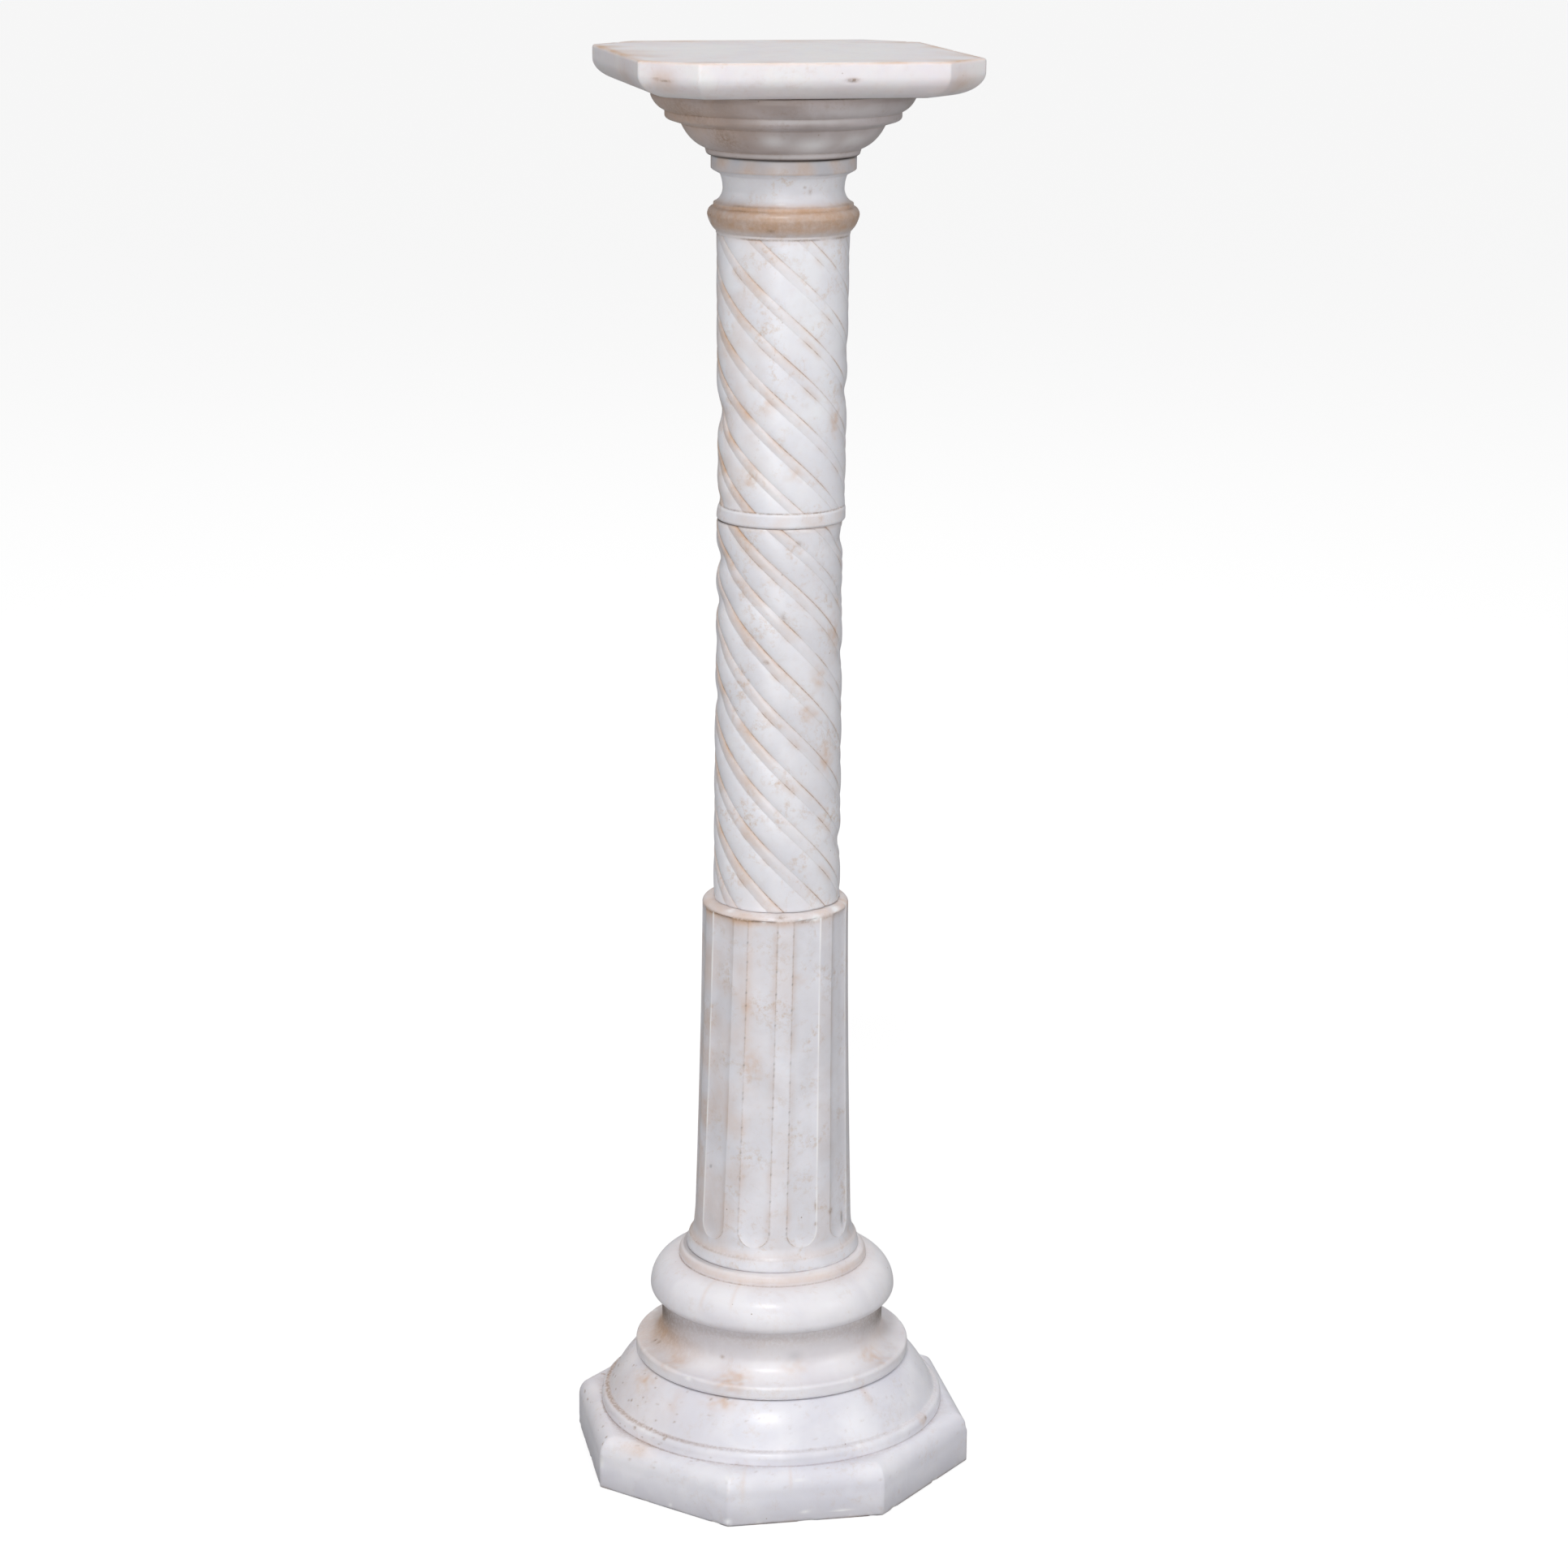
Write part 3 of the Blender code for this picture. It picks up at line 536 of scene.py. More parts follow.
drum_dice = np.random.default_rng(7)
pit_rows = np.zeros(drum_z.shape)
for number, side in PITTED_EDGES:
    z = DRUM_BODY_FOOT + 12
    while z < DRUM_LEDGE - 4:
        pit_rows += 0.5 * bump_at(drum_height, z, 0.7) * beside([(number, side)])
        z += drum_dice.uniform(4, 26)
drum_patches = patchy(drum_grid, 22, 9, 0.55, 1.4)
drum_azimuth = azimuth_of(drum_grid)
drum_left = to_side(drum_grid, LEFT)
drum_right = to_side(drum_grid, RIGHT)
ledge_places = [(33.5, 441, 3.6, 2.2, 1.6), (57, 443.4, 4, 1.5, 1.6), (-8.8, 439.9, 2, 0.9, 1), (76, 441, 2, 3, 1)]
ledge_places += [(20, 441.6, 1.8, 1.2, 1), (27, 440.4, 1.4, 1.1, 1), (-40, 444.6, 3, 0.8, 0.7)]
ledge_chips = spots(drum_grid, ledge_places)
ledge_dent = spots(drum_grid, [(4.6, 443.6, 3.4, 1.2, 1)])
foot_chips = patchy(drum_grid, 5, 7, 0.4, 4) * bump_at(drum_z, DRUM_FOOT + 0.8, 0.8)
foot_chips *= np.clip(2 * np.sin(drum_azimuth) - 0.1, 0, 1)
drum_knocks = (0.7 * ledge_chips + 0.8 * ledge_dent + 0.5 * foot_chips) / DRUM_MEAN_RADIUS
cut_in(drum_grid, hand_cut(drum_grid, 0.003, 60, 5) + drum_knocks)
on_body = (drum_z > DRUM_BODY_FOOT - 6) & (drum_z < DRUM_LEDGE)
under_ledge = bump_at(drum_z, DRUM_LEDGE - 0.4, 1.1) * (0.35 + 0.65 * drum_patches)
foot_bruise = bump_at(drum_azimuth, radians(24), radians(9)) * (drum_z < DRUM_BODY_FOOT + 2.3)
drum_specks = [(47.9, 208, 2.5, 2, 0.8), (33.2, 201.5, 1.2, 1.2, 0.9), (33.5, 216, 1, 4, 0.7)]
drum_specks += [(33.5, 438.3, 4, 0.8, 0.7), (57, 441, 4, 0.7, 0.6), (24, 439, 5, 0.7, 0.5)]
drum_blotches = [(-19, 328, 8, 13, 0.65), (-22, 372, 5, 11, 0.42), (-45, 385, 6, 6, 0.45), (20, 395, 6, 5, 0.4)]
drum_marks = {
    "dirt": 0.16 * bump_at(from_edge, 0, 0.4) * drum_patches * (1 - beside(BRUISED_AND_HIGHLIGHT_EDGES))
    + 0.22 * bump_at(from_edge, 0, 0.4) * beside(PITTED_EDGES)
    # The dark line round each flute's rounded end is partly painted shadow in its crease and partly dirt.
    + 0.40 * bump_at(from_edge, 0, 0.45) * (drum_z < flute_spring - 3)
    + 0.85 * under_ledge * (1 - 0.7 * drum_right)
    + 0.6 * bump_at(drum_z, DRUM_FLARE_TOP - 0.2, 0.7) * (0.3 + 0.7 * drum_left)
    + 0.7 * ledge_dent
    + spots(drum_grid, drum_specks),
    "joint": pit_rows * bump_at(from_edge, 0, 0.5)
    + 0.3 * bump_at(drum_z, DRUM_FOOT, 0.5) * drum_left
    + spots(drum_grid, [(-55.7, 240.6, 0.8, 0.9, 0.9), (64, 197, 1.1, 5, 0.6)]),
    "stain": 0.30 * (bump_at(from_edge, 0, 3.6) * beside(TANNED_EDGES) * inside * drum_patches)
    + (0.12 * (~inside) + 0.34 * drum_left) * on_body * drum_patches
    + 0.6 * bump_at(drum_z, DRUM_LEDGE - 1, 3.5) * on_body * (1 - 0.6 * drum_right)
    + (drum_z > DRUM_LEDGE) * (0.26 + 0.26 * drum_patches)
    + 0.35 * bump_at(drum_z, DRUM_FLARE_TOP + 0.8, 3) * (0.3 + 0.7 * drum_left + 0.4 * drum_right)
    + blotches(drum_grid, drum_blotches, 43),
    "chip": bump_at(from_edge, 0, 0.5) * beside(BRUISED_AND_HIGHLIGHT_EDGES) * (0.45 + 0.55 * drum_patches)
    + ledge_chips
    + 0.9 * foot_chips
    + 0.5 * bump_at(from_edge, 0, 0.6) * foot_bruise,
    # Painted shade: the drum's left and right sides are painted greyer.
    "painted_shade": 0.17 * (drum_left**2 + drum_right**2) * on_body,
}
drum_stone = polished_alabaster(
    "polished_grey_alabaster_drum", "EFEEF4", "DEDCE1", "CDB6A0", cloudiness=0.7, tan_share=0.6
)
drum = stone("fluted_drum_carved", drum_grid, drum_stone, drum_marks)
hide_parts("fluted_drum")

# The lower shaft is carved as a rope of eight wide strands with a narrow one between each pair. The crisp
# crease above each narrow strand holds a thin line of orange-brown dirt, and the narrow strand is tanned.
LOWER_FOOT = DRUM_TOP + JOINT_GAP
LOWER_TOP = 733.2
LOWER_FOOT_CREST = 47.8
LOWER_TOP_CREST = 46.8
LOWER_RUBBED_HEIGHT = 1.6
LOWER_RUBBED_DEPTH = 0.7
LOWER_ROWS = 250
LOWER_TURN = 291.4
LOWER_START = radians(41)
LOWER_BEND = radians(9.5)
LOWER_BEND_FOOT = 650
LOWER_WIDE = 0.677
LOWER_OFF = 1.0
STRANDS = 8
WIDE_STEPS = 21
NARROW_STEPS = 13
SHAFT_RADIUS = 47.5
CRISP_DEPTH = 1.35
SOFT_DEPTH = 0.95
BEAD_DEPTH = 0.4


def strand_shares(wide):
    """Places across one strand pair, from crisp crease to crisp crease, closer together near the creases."""
    eased_wide = [wide * (1 - cos(pi * k / WIDE_STEPS)) / 2 for k in range(WIDE_STEPS)]
    eased_narrow = [wide + (1 - wide) * (1 - cos(pi * k / NARROW_STEPS)) / 2 for k in range(NARROW_STEPS)]
    return np.array(eased_wide + eased_narrow)


def strand_depth(shares, wide):
    """Depth under the wide strand's crest: both strands are convex, with a crease on either side."""
    wide_place = np.clip(shares / wide, 0, 1)
    wide_edge = CRISP_DEPTH + (SOFT_DEPTH - CRISP_DEPTH) * wide_place
    wide_depth = wide_edge * np.abs(2 * wide_place - 1) ** 2.6
    narrow_place = np.clip((shares - wide) / (1 - wide), 0, 1)
    narrow_edge = SOFT_DEPTH + (CRISP_DEPTH - SOFT_DEPTH) * narrow_place
    narrow_depth = BEAD_DEPTH + (narrow_edge - BEAD_DEPTH) * np.abs(2 * narrow_place - 1) ** 2.2
    return np.where(shares < wide, wide_depth, narrow_depth)


def twisted(heights, crests, leads, shares, depth, flatness):
    """Grid of the twist. leads is the angle of its first crease at each height, and flatness the share of
    the carving's depth that is left there."""
    columns = (np.arange(STRANDS)[:, None] + shares).ravel() / STRANDS
    angles = leads[:, None] + 2 * pi * columns
    radii = crests[:, None] - np.tile(depth, STRANDS) * flatness[:, None]
    levels = np.repeat(heights[:, None], len(columns), axis=1)
    return np.stack([radii * np.cos(angles), radii * np.sin(angles), levels], axis=2)


def hollowed(grid, hollows):
    """Rubs away local hollows, each (azimuth in degrees, height, depth, length) in millimetres."""
    radius = np.hypot(grid[:, :, 0], grid[:, :, 1])
    loss = np.zeros(radius.shape)
    for degrees, height, depth, length in hollows:
        side = turn_gap(azimuth_of(grid), radians(degrees))
        loss += depth * bump_at(side, 0, 0.55) * bump_at(grid[:, :, 2], height, length / 2)
    cut_in(grid, loss / radius)


def twist_marks(grid, shares, wide, seed):
    """Dirt in the creases, tan on the narrow strand and white beside the crisp crease, partly bruises and
    partly painted highlight, strongest on the left.
    """
    share = np.tile(shares, STRANDS)
    pitch = 2 * pi * SHAFT_RADIUS / STRANDS
    from_crisp = np.minimum(share, 1 - share) * pitch
    from_soft = np.abs(share - wide) * pitch
    azimuth = azimuth_of(grid)
    left = np.clip(0.55 - 0.75 * np.sin(azimuth), 0, 1)
    patches = patchy(grid, 24, seed, 0.55, 1.5)
    smears = patchy(grid, 17, seed + 20, -0.3, 2.5)
    bruises = patchy(grid, 6, seed + 10, -0.8, 4)
    on_narrow = np.clip((share - wide) / (1 - wide), 0, 1) ** 0.42
    dirt = 0.9 * bump_at(from_crisp, 0, 0.34) * (0.2 + 0.8 * patches)
    dirt += bump_at(from_soft, 0, 0.45) * (0.14 + 0.6 * smears)
    stain = 0.60 * on_narrow * left * (0.35 + 0.65 * patches)
    stain += 0.36 * bump_at(from_crisp, 0, 1.6) * patches
    stain += 0.32 * bump_at(from_soft, 0, 4.5) * smears
    # Painted highlight in part: the white along the crisp crease is laid on the left side only, where the left
    # strip gleams; the rest is bruising.
    chip = 0.8 * bruises * bump_at(share * pitch, 0.5, 0.45) * np.clip(-1.6 * np.sin(azimuth), 0, 1)
    return dirt, stain, chip


lower_shares = strand_shares(LOWER_WIDE)
lower_heights = np.linspace(LOWER_FOOT, LOWER_TOP, LOWER_ROWS)
lower_rubbed = np.clip((lower_heights - LOWER_TOP + LOWER_RUBBED_HEIGHT) / LOWER_RUBBED_HEIGHT, 0, 1)
lower_crests = np.linspace(LOWER_FOOT_CREST, LOWER_TOP_CREST, LOWER_ROWS) - LOWER_RUBBED_DEPTH * lower_rubbed
lower_depth = strand_depth(lower_shares, LOWER_WIDE)
lower_bend = np.clip((lower_heights - LOWER_BEND_FOOT) / (LOWER_TOP - LOWER_BEND_FOOT), 0, 1) ** 2
lower_leads = LOWER_START - 2 * pi * (lower_heights - LOWER_FOOT) / LOWER_TURN - LOWER_BEND * lower_bend
lower_grid = twisted(lower_heights, lower_crests, lower_leads, lower_shares, lower_depth, np.ones(LOWER_ROWS))
lower_wear = [(-90, 705, 3.5, 16), (-90, 673, 2.5, 15), (-90, 642, 1.2, 15), (-90, 601, 2, 16)]
lower_wear += [(90, 720, 2.5, 16), (90, 680, 1.2, 15), (90, 632, 1, 15), (90, 490, 2, 16)]
hollowed(lower_grid, lower_wear)
cut_in(lower_grid, hand_cut(lower_grid, 0.008, 28, 8))
lower_dirt, lower_stain, lower_chip_and_highlight = twist_marks(lower_grid, lower_shares, LOWER_WIDE, 9)
lower_z = lower_grid[:, :, 2]
lower_left = to_side(lower_grid, LEFT)
lower_right = to_side(lower_grid, RIGHT)
lower_specks = [(4, 669, 2, 3, 0.5), (-11, 635, 2.5, 1.5, 0.6), (18, 722, 3, 3, 0.4)]
lower_blotches = [(39, 622, 6, 8, 0.9), (29, 596, 7, 6, 0.8), (50, 560, 7, 10, 0.9), (62, 650, 6, 15, 0.8)]
lower_marks = {
    "dirt": lower_dirt + spots(lower_grid, lower_specks),
    "joint": 0.7 * bump_at(lower_z, LOWER_TOP, 0.6) * lower_left**2
    + 0.7 * bump_at(lower_z, LOWER_FOOT, 0.7) * (0.3 + 0.7 * lower_right),
    "stain": lower_stain + 0.25 * bump_at(lower_z, LOWER_TOP, 3) + blotches(lower_grid, lower_blotches, 44),
    "chip": lower_chip_and_highlight,
}
lower_stone = polished_alabaster(
    "polished_white_alabaster_lower_shaft", "F0EFF4", "E0DFE5", "D0B69F", tan_share=0.6
)
lower = stone("twisted_lower_shaft", lower_grid, lower_stone, lower_marks, LOWER_OFF)
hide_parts("lower_shaft")

# The upper shaft is one stone with a plain ring at its foot, the same twist, and the turned neck above it:
# fillet, torus, astragal, hollow and band. Its carving is nearly rubbed flush towards the top.
UPPER_FOOT = LOWER_TOP + JOINT_GAP
UPPER_TWIST_FOOT = 744.6
UPPER_TWIST_TOP = 941.0
NECK_TORUS_FOOT = 943.4
NECK_TORUS_MIDDLE = 953
ASTRAGAL_FOOT = 960.9
ASTRAGAL_TOP = 963.5
BAND_FOOT = 987.0
UPPER_TOP = 997.5
RING_RADIUS = 47.4
UPPER_FOOT_CREST = 47.0
UPPER_TOP_CREST = 48.2
NECK_RADIUS = 48.6
NECK_TORUS_RADIUS = 55
ASTRAGAL_RADIUS = 50.6
NECK_HOLLOW_RADIUS = 43.8
BAND_RADIUS = 52.5
UPPER_ROWS = 176
UPPER_TURN = 265.2
UPPER_START = radians(10.8)
UPPER_WIDE = 0.716
UPPER_OFF = 1.8

upper_shares = strand_shares(UPPER_WIDE)
upper_heights = np.linspace(UPPER_TWIST_FOOT, UPPER_TWIST_TOP, UPPER_ROWS)
upper_crests = np.linspace(UPPER_FOOT_CREST, UPPER_TOP_CREST, UPPER_ROWS)
upper_flatness = 0.85 - 0.35 * np.clip((upper_heights - 800) / 60, 0, 1)
upper_depth = strand_depth(upper_shares, UPPER_WIDE)
upper_leads = UPPER_START - 2 * pi * (upper_heights - UPPER_TWIST_FOOT) / UPPER_TURN
twist_grid = twisted(upper_heights, upper_crests, upper_leads, upper_shares, upper_depth, upper_flatness)
ring_outline = [(RING_RADIUS - 1.1, UPPER_FOOT), (RING_RADIUS, UPPER_FOOT + 1.3)]
ring_outline += [(RING_RADIUS, UPPER_TWIST_FOOT - 1.6), (RING_RADIUS - 0.8, UPPER_TWIST_FOOT - 0.3)]
ring_outline = worn(ring_outline, 0.8, 0.4)
neck_outline = [(NECK_RADIUS - 0.3, UPPER_TWIST_TOP + 0.4), (NECK_RADIUS, UPPER_TWIST_TOP + 1)]
neck_outline.append((NECK_RADIUS, NECK_TORUS_FOOT))
neck_outline += curve(neck_outline[-1], (NECK_TORUS_RADIUS, NECK_TORUS_MIDDLE + 2), (0.75, 0.35))
neck_outline += quarter(neck_outline[-1], (ASTRAGAL_RADIUS, ASTRAGAL_FOOT), "up")
neck_outline.append((ASTRAGAL_RADIUS, ASTRAGAL_TOP))
neck_outline += curve(neck_outline[-1], (NECK_HOLLOW_RADIUS, BAND_FOOT - 14), (0.85, 0.25))
neck_outline += curve(neck_outline[-1], (NECK_HOLLOW_RADIUS + 2.2, BAND_FOOT - 3), (0.05, 0.6))
neck_outline += [(BAND_RADIUS - 0.9, BAND_FOOT), (BAND_RADIUS, BAND_FOOT + 0.9)]
neck_outline += [(BAND_RADIUS, UPPER_TOP - 0.9), (BAND_RADIUS - 0.8, UPPER_TOP)]
neck_outline = worn(neck_outline, 0.7, 0.3)
ring_grid = turned(ring_outline, np.arctan2(twist_grid[0, :, 1], twist_grid[0, :, 0]))
neck_grid = turned(neck_outline, np.arctan2(twist_grid[-1, :, 1], twist_grid[-1, :, 0]))
upper_grid = np.concatenate([ring_grid, twist_grid, neck_grid])
upper_wear = [(-90, 812, 3.8, 22), (-90, 748, 2, 14), (-90, 775, 0.8, 14)]
upper_wear += [(90, 828, 1.8, 16), (90, 858, 0.8, 16)]
hollowed(upper_grid, upper_wear)
cut_in(upper_grid, hand_cut(upper_grid, 0.005, 28, 11))
upper_z = upper_grid[:, :, 2]
on_twist = (upper_z > UPPER_TWIST_FOOT - 0.1) & (upper_z < UPPER_TWIST_TOP + 0.1)
upper_left = to_side(upper_grid, LEFT)
upper_right = np.clip(0.5 + np.sin(azimuth_of(upper_grid)), 0, 1)
upper_dirt, upper_stain, upper_chip_and_highlight = twist_marks(upper_grid, upper_shares, UPPER_WIDE, 12)
upper_faded = np.clip(1.3 - (upper_z - 850) / 150, 0.5, 1) * on_twist
upper_smears = patchy(upper_grid, 16, 14, 0.5, 1.5)
upper_blotches = [(-14, 824, 6, 6, 0.7), (12, 774, 6, 5, 0.7), (-29, 766, 5, 5, 0.6), (56, 809, 6, 9, 1)]
upper_marks = {
    "dirt": upper_dirt * upper_faded
    + 0.6 * bump_at(upper_z, UPPER_TWIST_TOP + 0.2, 0.7) * upper_smears
    + 0.5 * bump_at(upper_z, ASTRAGAL_FOOT + 0.2, 0.6) * upper_smears
    + 0.45 * bump_at(upper_z, ASTRAGAL_TOP + 0.6, 0.7) * upper_smears
    + 0.55 * bump_at(upper_z, UPPER_TWIST_FOOT, 0.6)
    + 0.5 * bump_at(upper_z, UPPER_FOOT, 0.6)
    + 0.22 * bump_at(upper_z, NECK_TORUS_MIDDLE, 8)
    + spots(upper_grid, [(-9.8, 948, 3, 1.6, 0.5), (25.6, 975, 1.2, 3, 0.5), (20, 978, 0.9, 0.9, 0.8)]),
    "joint": 0.8 * bump_at(upper_z, UPPER_FOOT, 0.6) * upper_left**2
    + 1.0 * bump_at(upper_z, UPPER_TOP, 1.1) * (0.5 + 0.5 * upper_right),
    "stain": upper_stain * upper_faded
    + 0.3 * on_twist * upper_left * upper_smears
    + 1.25 * bump_at(upper_z, NECK_TORUS_MIDDLE, 8.5)
    + 0.85 * bump_at(upper_z, ASTRAGAL_TOP - 1, 3) * (0.6 + 0.4 * upper_smears)
    + 0.6 * (upper_z > BAND_FOOT) * upper_smears
    + 0.25 * bump_at(upper_z, UPPER_FOOT + 5, 6) * upper_smears
    + blotches(upper_grid, upper_blotches, 45),
    # Painted shade: grey over the band and the neck torus, which lie in the slab's shade.
    "painted_shade": 0.35 * (upper_z > BAND_FOOT - 1) * (1.2 - upper_smears)
    + 0.22 * bump_at(upper_z, NECK_TORUS_MIDDLE + 1, 9),
    "chip": upper_chip_and_highlight * upper_faded + spots(upper_grid, [(-78, 952, 2.5, 2, 0.7), (-2, 966.5, 3, 0.6, 0.7)]),
}
upper_stone = polished_alabaster(
    "polished_white_alabaster_upper_shaft", "F6F6FB", "E8E7EE", "D6BEA8", tan_share=0.55
)
upper = stone("twisted_upper_shaft", upper_grid, upper_stone, upper_marks, UPPER_OFF)
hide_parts("upper_shaft")

# The capital is turned from a greyer, browner stone than the rest: a fillet, an ovolo, a slanted soffit,
# a ring and a second ovolo that spreads to carry the slab. Its edges are crisp. Its left side and top are
# painted darker as the slab's shadow, and pale patches on its fillet, ring and ovolos are painted highlights.
CAPITAL_FOOT = UPPER_TOP + JOINT_GAP
CAPITAL_FILLET_TOP = 1002.4
CAPITAL_OVOLO_TOP = 1019.6
CAPITAL_SOFFIT_TOP = 1022.0
CAPITAL_RING_FOOT = 1025.0
CAPITAL_RING_TOP = 1028.7
CAPITAL_TOP = 1043.5
CAPITAL_FILLET_RADIUS = 56.2
CAPITAL_OVOLO_RADIUS = 73.5
CAPITAL_RING_RADIUS = 85
CAPITAL_TOP_RADIUS = 95
CAPITAL_COLUMNS = 360
CAPITAL_OFF = 1.2

capital_outline = [(CAPITAL_FILLET_RADIUS - 2, CAPITAL_FOOT), (CAPITAL_FILLET_RADIUS - 1, CAPITAL_FOOT + 0.8)]
capital_outline.append((CAPITAL_FILLET_RADIUS, CAPITAL_FILLET_TOP))
capital_outline += curve(capital_outline[-1], (CAPITAL_OVOLO_RADIUS, CAPITAL_OVOLO_TOP), (0.65, 0.24), 24)
capital_outline.append((CAPITAL_RING_RADIUS - 3.5, CAPITAL_SOFFIT_TOP))
capital_outline += curve(capital_outline[-1], (CAPITAL_RING_RADIUS, CAPITAL_RING_FOOT), (0.9, 0.3), 8)
capital_outline.append((CAPITAL_RING_RADIUS, CAPITAL_RING_TOP))
capital_outline += curve(capital_outline[-1], (CAPITAL_TOP_RADIUS, CAPITAL_TOP - 4.5), (0.7, 0.27), 20)
capital_outline += [(CAPITAL_TOP_RADIUS, CAPITAL_TOP - 0.6), (CAPITAL_TOP_RADIUS - 0.6, CAPITAL_TOP)]
capital_outline = worn(capital_outline, 0.55, 0.25)
capital_grid = turned(capital_outline, np.linspace(0, 2 * pi, CAPITAL_COLUMNS, endpoint=False))
capital_z = capital_grid[:, :, 2]
capital_azimuth = azimuth_of(capital_grid)
capital_left = to_side(capital_grid, LEFT)
cut_in(capital_grid, hand_cut(capital_grid, 0.0025, 40, 14))
capital_grooves = [(CAPITAL_FILLET_RADIUS, CAPITAL_FILLET_TOP, 0.5)]
capital_grooves.append((CAPITAL_OVOLO_RADIUS, CAPITAL_OVOLO_TOP, 0.5))
capital_grooves.append((CAPITAL_RING_RADIUS, CAPITAL_RING_TOP, 0.4))
# Painted highlights: pale patches on the front of the fillet, the ring and the ovolos.
fillet_painted_highlight = bump_at(capital_z, CAPITAL_FOOT + 2.6, 1.4) * bump_at(capital_azimuth, radians(5), radians(55))
ring_painted_highlight = bump_at(capital_z, CAPITAL_RING_FOOT + 2, 1.6) * bump_at(capital_azimuth, radians(12), radians(28))
capital_painted_highlights = [(-6, 1012, 10, 5, 0.5), (18, 1009, 15, 6, 0.7), (46, 1012, 12, 5, 0.5), (34, 1034, 32, 4, 0.25)]
# Painted shadow of the slab: the left side is stained and dirtied darker, and the top under the slab is stained
# and dirtied. The grooves and the joints hold real dirt.
capital_marks = {
    "dirt": in_line(capital_outline, capital_grooves, 0.6) * (0.6 + 0.4 * capital_left)
    + spots(capital_grid, [(-36, 1012, 12, 9, 0.6), (-50, 1032, 26, 8, 0.45), (6, 1034, 16, 4, 0.2)]),
    "joint": 1.0 * bump_at(capital_z, CAPITAL_FOOT, 0.9) + 0.6 * bump_at(capital_z, CAPITAL_TOP, 0.6),
    "stain": 0.6 * capital_left**0.8 * bump_at(capital_z, CAPITAL_RING_FOOT + 1, 20)
    + 0.2 * bump_at(capital_z, CAPITAL_TOP, 5),
    "chip": 0.35 * fillet_painted_highlight + 0.4 * ring_painted_highlight + spots(capital_grid, capital_painted_highlights),
}
# The stone's own greyer brown, darkened further as painted shade of the slab above.
capital_stone = polished_alabaster(
    "polished_brown_grey_alabaster_capital", "CEC5C6", "B3A6A3", "A08672", cloudiness=0.8, tan_share=0.45
)
capital = stone("turned_capital", capital_grid, capital_stone, capital_marks, CAPITAL_OFF)
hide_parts("capital")

# The top slab is a square of pinkish alabaster with its corners cut off and its underside curved in to the
# capital. It is set a little askew. Its top edge is tanned and nicked, and a flake is gone from its front.
SLAB_FOOT = CAPITAL_TOP + JOINT_GAP
SLAB_CURVE_TOP = 1060.5
SLAB_CURVE = 28.5
SLAB_TOP = 1070.0
SLAB_TOP_EDGE = 1
SLAB_HALF = 123.5
SLAB_CORNER = 149.55
SLAB_TURN = radians(2.3)
SLAB_OFF = 2.2
SLAB_SIDE_STEPS = 84
SLAB_CUT_STEPS = 28
SLAB_TOP_RINGS = 44

slab_edge = [(-SLAB_CURVE, SLAB_FOOT)]
slab_edge += quarter(slab_edge[-1], (0, SLAB_CURVE_TOP), "out", 24)
slab_edge += [(0, SLAB_TOP - SLAB_TOP_EDGE), (-SLAB_TOP_EDGE, SLAB_TOP)]
slab_edge = worn(slab_edge, 0.8, 0.4)
slab_side = []
for inset, z in slab_edge:
    slab_side.append(cornered_ring(SLAB_HALF + inset, SLAB_CORNER + inset, z, SLAB_SIDE_STEPS, SLAB_CUT_STEPS))
slab_side = np.array(slab_side)
slab_shrink = np.linspace(1, 0.03, SLAB_TOP_RINGS + 1)[1:, None]
slab_face = slab_side[-1] * np.stack([slab_shrink, slab_shrink, np.ones_like(slab_shrink)], axis=-1)
slab_inward = np.concatenate([np.zeros((len(slab_edge), 1)), (1 - slab_shrink) * SLAB_HALF])
slab_grid = np.concatenate([slab_side, slab_face])
slab_x = slab_grid[:, :, 0] * cos(SLAB_TURN) - slab_grid[:, :, 1] * sin(SLAB_TURN)
slab_y = slab_grid[:, :, 0] * sin(SLAB_TURN) + slab_grid[:, :, 1] * cos(SLAB_TURN)
slab_grid[:, :, 0] = slab_x
slab_grid[:, :, 1] = slab_y
slab_z = slab_grid[:, :, 2]
slab_reach = np.hypot(slab_x, slab_y)
slab_rim = bump_at(slab_z, SLAB_TOP, 1.4) * bump_at(slab_inward, 0, 4)
slab_border = bump_at(slab_z, SLAB_TOP, 0.8) * bump_at(slab_inward, 0, 24)
slab_nicks = patchy(slab_grid, 8, 16, -1.125, 2.5) * slab_rim
slab_flake = spots(slab_grid, [(21.3, 1057.3, 3.4, 1.3, 1)])
slab_grid[:, :, 2] -= slab_nicks
cut_in(slab_grid, (0.7 * slab_flake + hand_cut(slab_grid, 0.5, 30, 18)) / slab_reach)
slab_scratches = [(21.9, 1058.4, 3.6, 1.2, 0.9), (-33.4, 1057.3, 5, 0.7, 0.7), (-36, 1058.6, 3, 0.6, 0.6)]
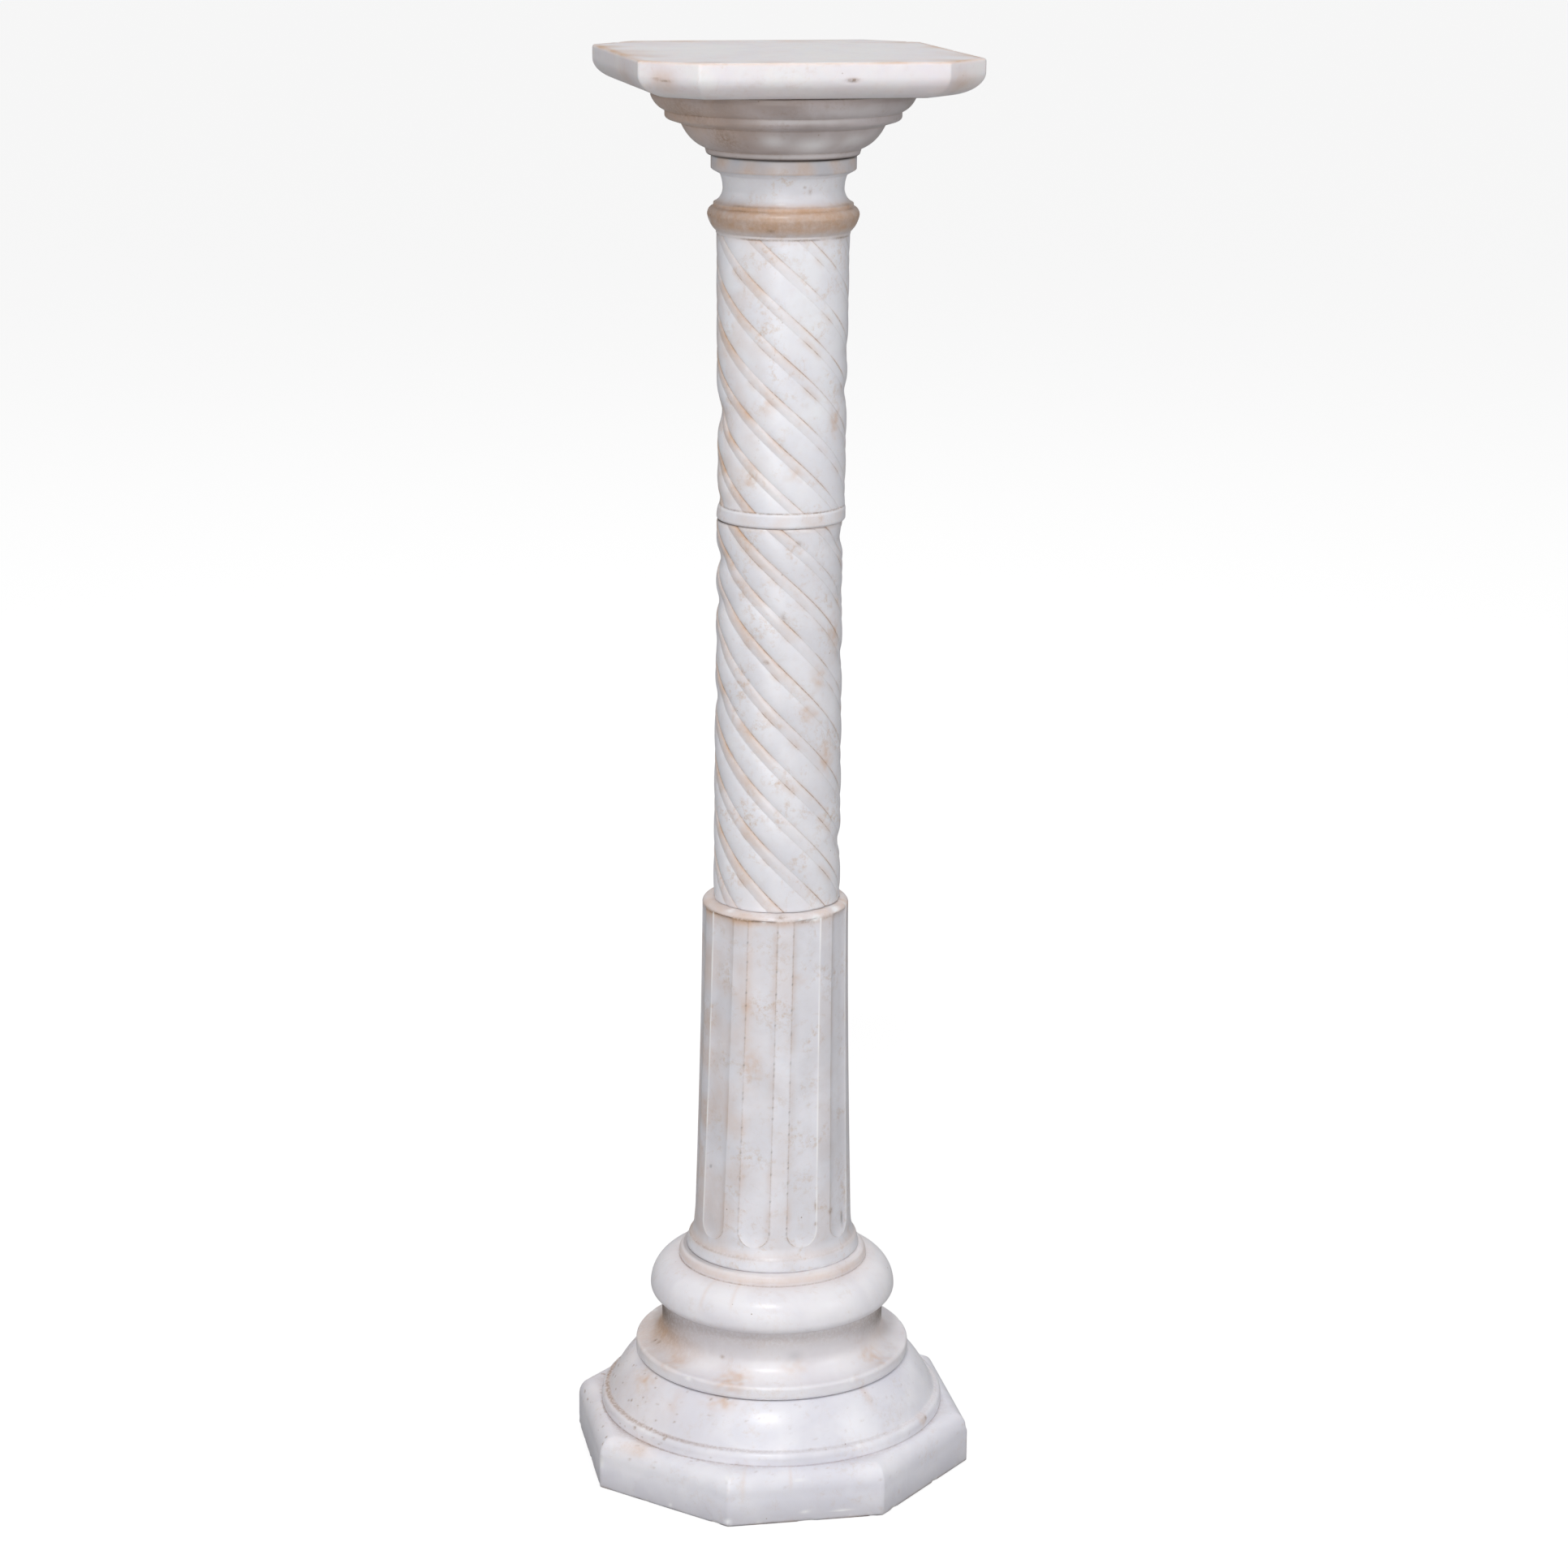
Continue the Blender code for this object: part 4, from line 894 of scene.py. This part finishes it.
slab_marks = {
    "dirt": 0.45 * bump_at(slab_z, SLAB_FOOT, 0.9) + spots(slab_grid, slab_scratches),
    "joint": spots(slab_grid, [(21.9, 1057, 2.6, 0.5, 0.4)]) + 0.7 * bump_at(slab_z, SLAB_FOOT, 0.7),
    "stain": 0.50 * slab_rim
    + 0.12 * bump_at(slab_z, SLAB_FOOT + 6.2, 5)
    + spots(slab_grid, [(-34, 1058, 10, 8, 0.5), (-62, 1056, 30, 8, 0.3), (56, 1055, 18, 8, 0.45)])
    + slab_border * patchy(slab_grid, 32, 19, 0.12, 0.9)
    + slab_border * spots(slab_grid, [(-75, SLAB_TOP, 34, 3, 0.4), (-140, SLAB_TOP, 40, 3, 0.3)]),
    "chip": 0.35 * slab_nicks,
}
slab_stone = polished_alabaster("polished_pink_alabaster_slab", "FDF8FA", "F1EBF1", "E2CFC3", glow=0.5)
slab = stone("cut_corner_slab", slab_grid, slab_stone, slab_marks, SLAB_OFF)
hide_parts("top_slab")

# A matt floor that looks pale and runs out of sight. It throws little light back up, as in the photograph,
# where the plinth's faces darken towards the floor.
FLOOR_HALF = 30
FLOOR_SEEN = 0.74

floor_mesh = bpy.data.meshes.new("floor")
floor_corners = [(x * FLOOR_HALF, y * FLOOR_HALF, 0) for x, y in ((-1, -1), (1, -1), (1, 1), (-1, 1))]
floor_mesh.from_pydata(floor_corners, [], [(0, 1, 2, 3)])
floor = bpy.data.objects.new("floor", floor_mesh)
bpy.context.scene.collection.objects.link(floor)
floor_paint = bpy.data.materials.new("matt_pale_floor")
floor_paint.use_nodes = True
floor_tree = floor_paint.node_tree
floor_shader = floor_tree.nodes["Principled BSDF"]
floor_shader.inputs["Base Color"].default_value = linear("A0A0A0")
floor_shader.inputs["Roughness"].default_value = 0.9
floor_shader.inputs["Emission Color"].default_value = (1, 1, 1, 1)
floor_rays = add(floor_tree, "ShaderNodeLightPath", {})
floor_range = {"Value": floor_rays.outputs["Is Camera Ray"], "To Max": FLOOR_SEEN}
floor_glow = add(floor_tree, "ShaderNodeMapRange", floor_range)
floor_tree.links.new(floor_glow.outputs[0], floor_shader.inputs["Emission Strength"])
floor_mesh.materials.append(floor_paint)

# Soft studio light: one softbox high in front, a little to the left, which leaves the capital and the neck
# in the slab's shade, with a weak fill below it, a narrow strip at each side for the gleams and one
# softbox high behind.
LIGHTS_AIM = Vector((0, 0, 0.6))


def lamp(name, bearing, distance, height, width, tall, power):
    """An area lamp at that bearing from the column's front, in degrees to the right."""
    light = bpy.data.lights.new(name, "AREA")
    light.shape = "RECTANGLE"
    light.size = width
    light.size_y = tall
    light.energy = power
    piece = bpy.data.objects.new(name, light)
    angle = FRONT + radians(bearing)
    piece.location = (distance * cos(angle), distance * sin(angle), height)
    look = LIGHTS_AIM - piece.location
    piece.rotation_euler = look.to_track_quat("-Z", "Y").to_euler()
    bpy.context.scene.collection.objects.link(piece)


lamp("front_softbox", -5, 3.5, 4.6, 0.9, 0.9, 82)
lamp("front_fill", -5, 3.2, 1.0, 1.8, 1.8, 22)
lamp("left_strip", -88, 2.4, 1.5, 0.2, 0.9, 3)
lamp("right_strip", 62, 2.4, 1.5, 0.3, 0.9, 6)
lamp("back_softbox", 180, 3.0, 4.2, 1.2, 1.2, 40)

# The pale room is brighter in front of the column than behind it, so the column's sides fall off a little.
# Its walls look lighter than the light that they give.
ROOM_IN_FRONT = 0.64
ROOM_BEHIND = 0.30
ROOM_SEEN = 0.93

room = bpy.data.worlds.new("white_room")
room.use_nodes = True
bpy.context.scene.world = room
room_tree = room.node_tree
room_light = room_tree.nodes["Background"]
facing = add(room_tree, "ShaderNodeVectorMath", {1: (cos(FRONT), sin(FRONT), 0)}, operation="DOT_PRODUCT")
room_tree.links.new(add(room_tree, "ShaderNodeTexCoord", {}).outputs["Generated"], facing.inputs[0])
room_range = {"Value": facing.outputs["Value"], "From Min": -1, "To Min": ROOM_BEHIND, "To Max": ROOM_IN_FRONT}
room_level = add(room_tree, "ShaderNodeMapRange", room_range).outputs[0]
room_seen = add(room_tree, "ShaderNodeLightPath", {}).outputs["Is Camera Ray"]
room_mix = add(room_tree, "ShaderNodeMix", {0: room_seen, 2: room_level, 3: ROOM_SEEN}, data_type="FLOAT")
room_tree.links.new(room_mix.outputs[0], room_light.inputs["Strength"])
room_light.inputs["Color"].default_value = (1, 1, 1, 1)
bpy.context.scene.view_settings.view_transform = "Standard"
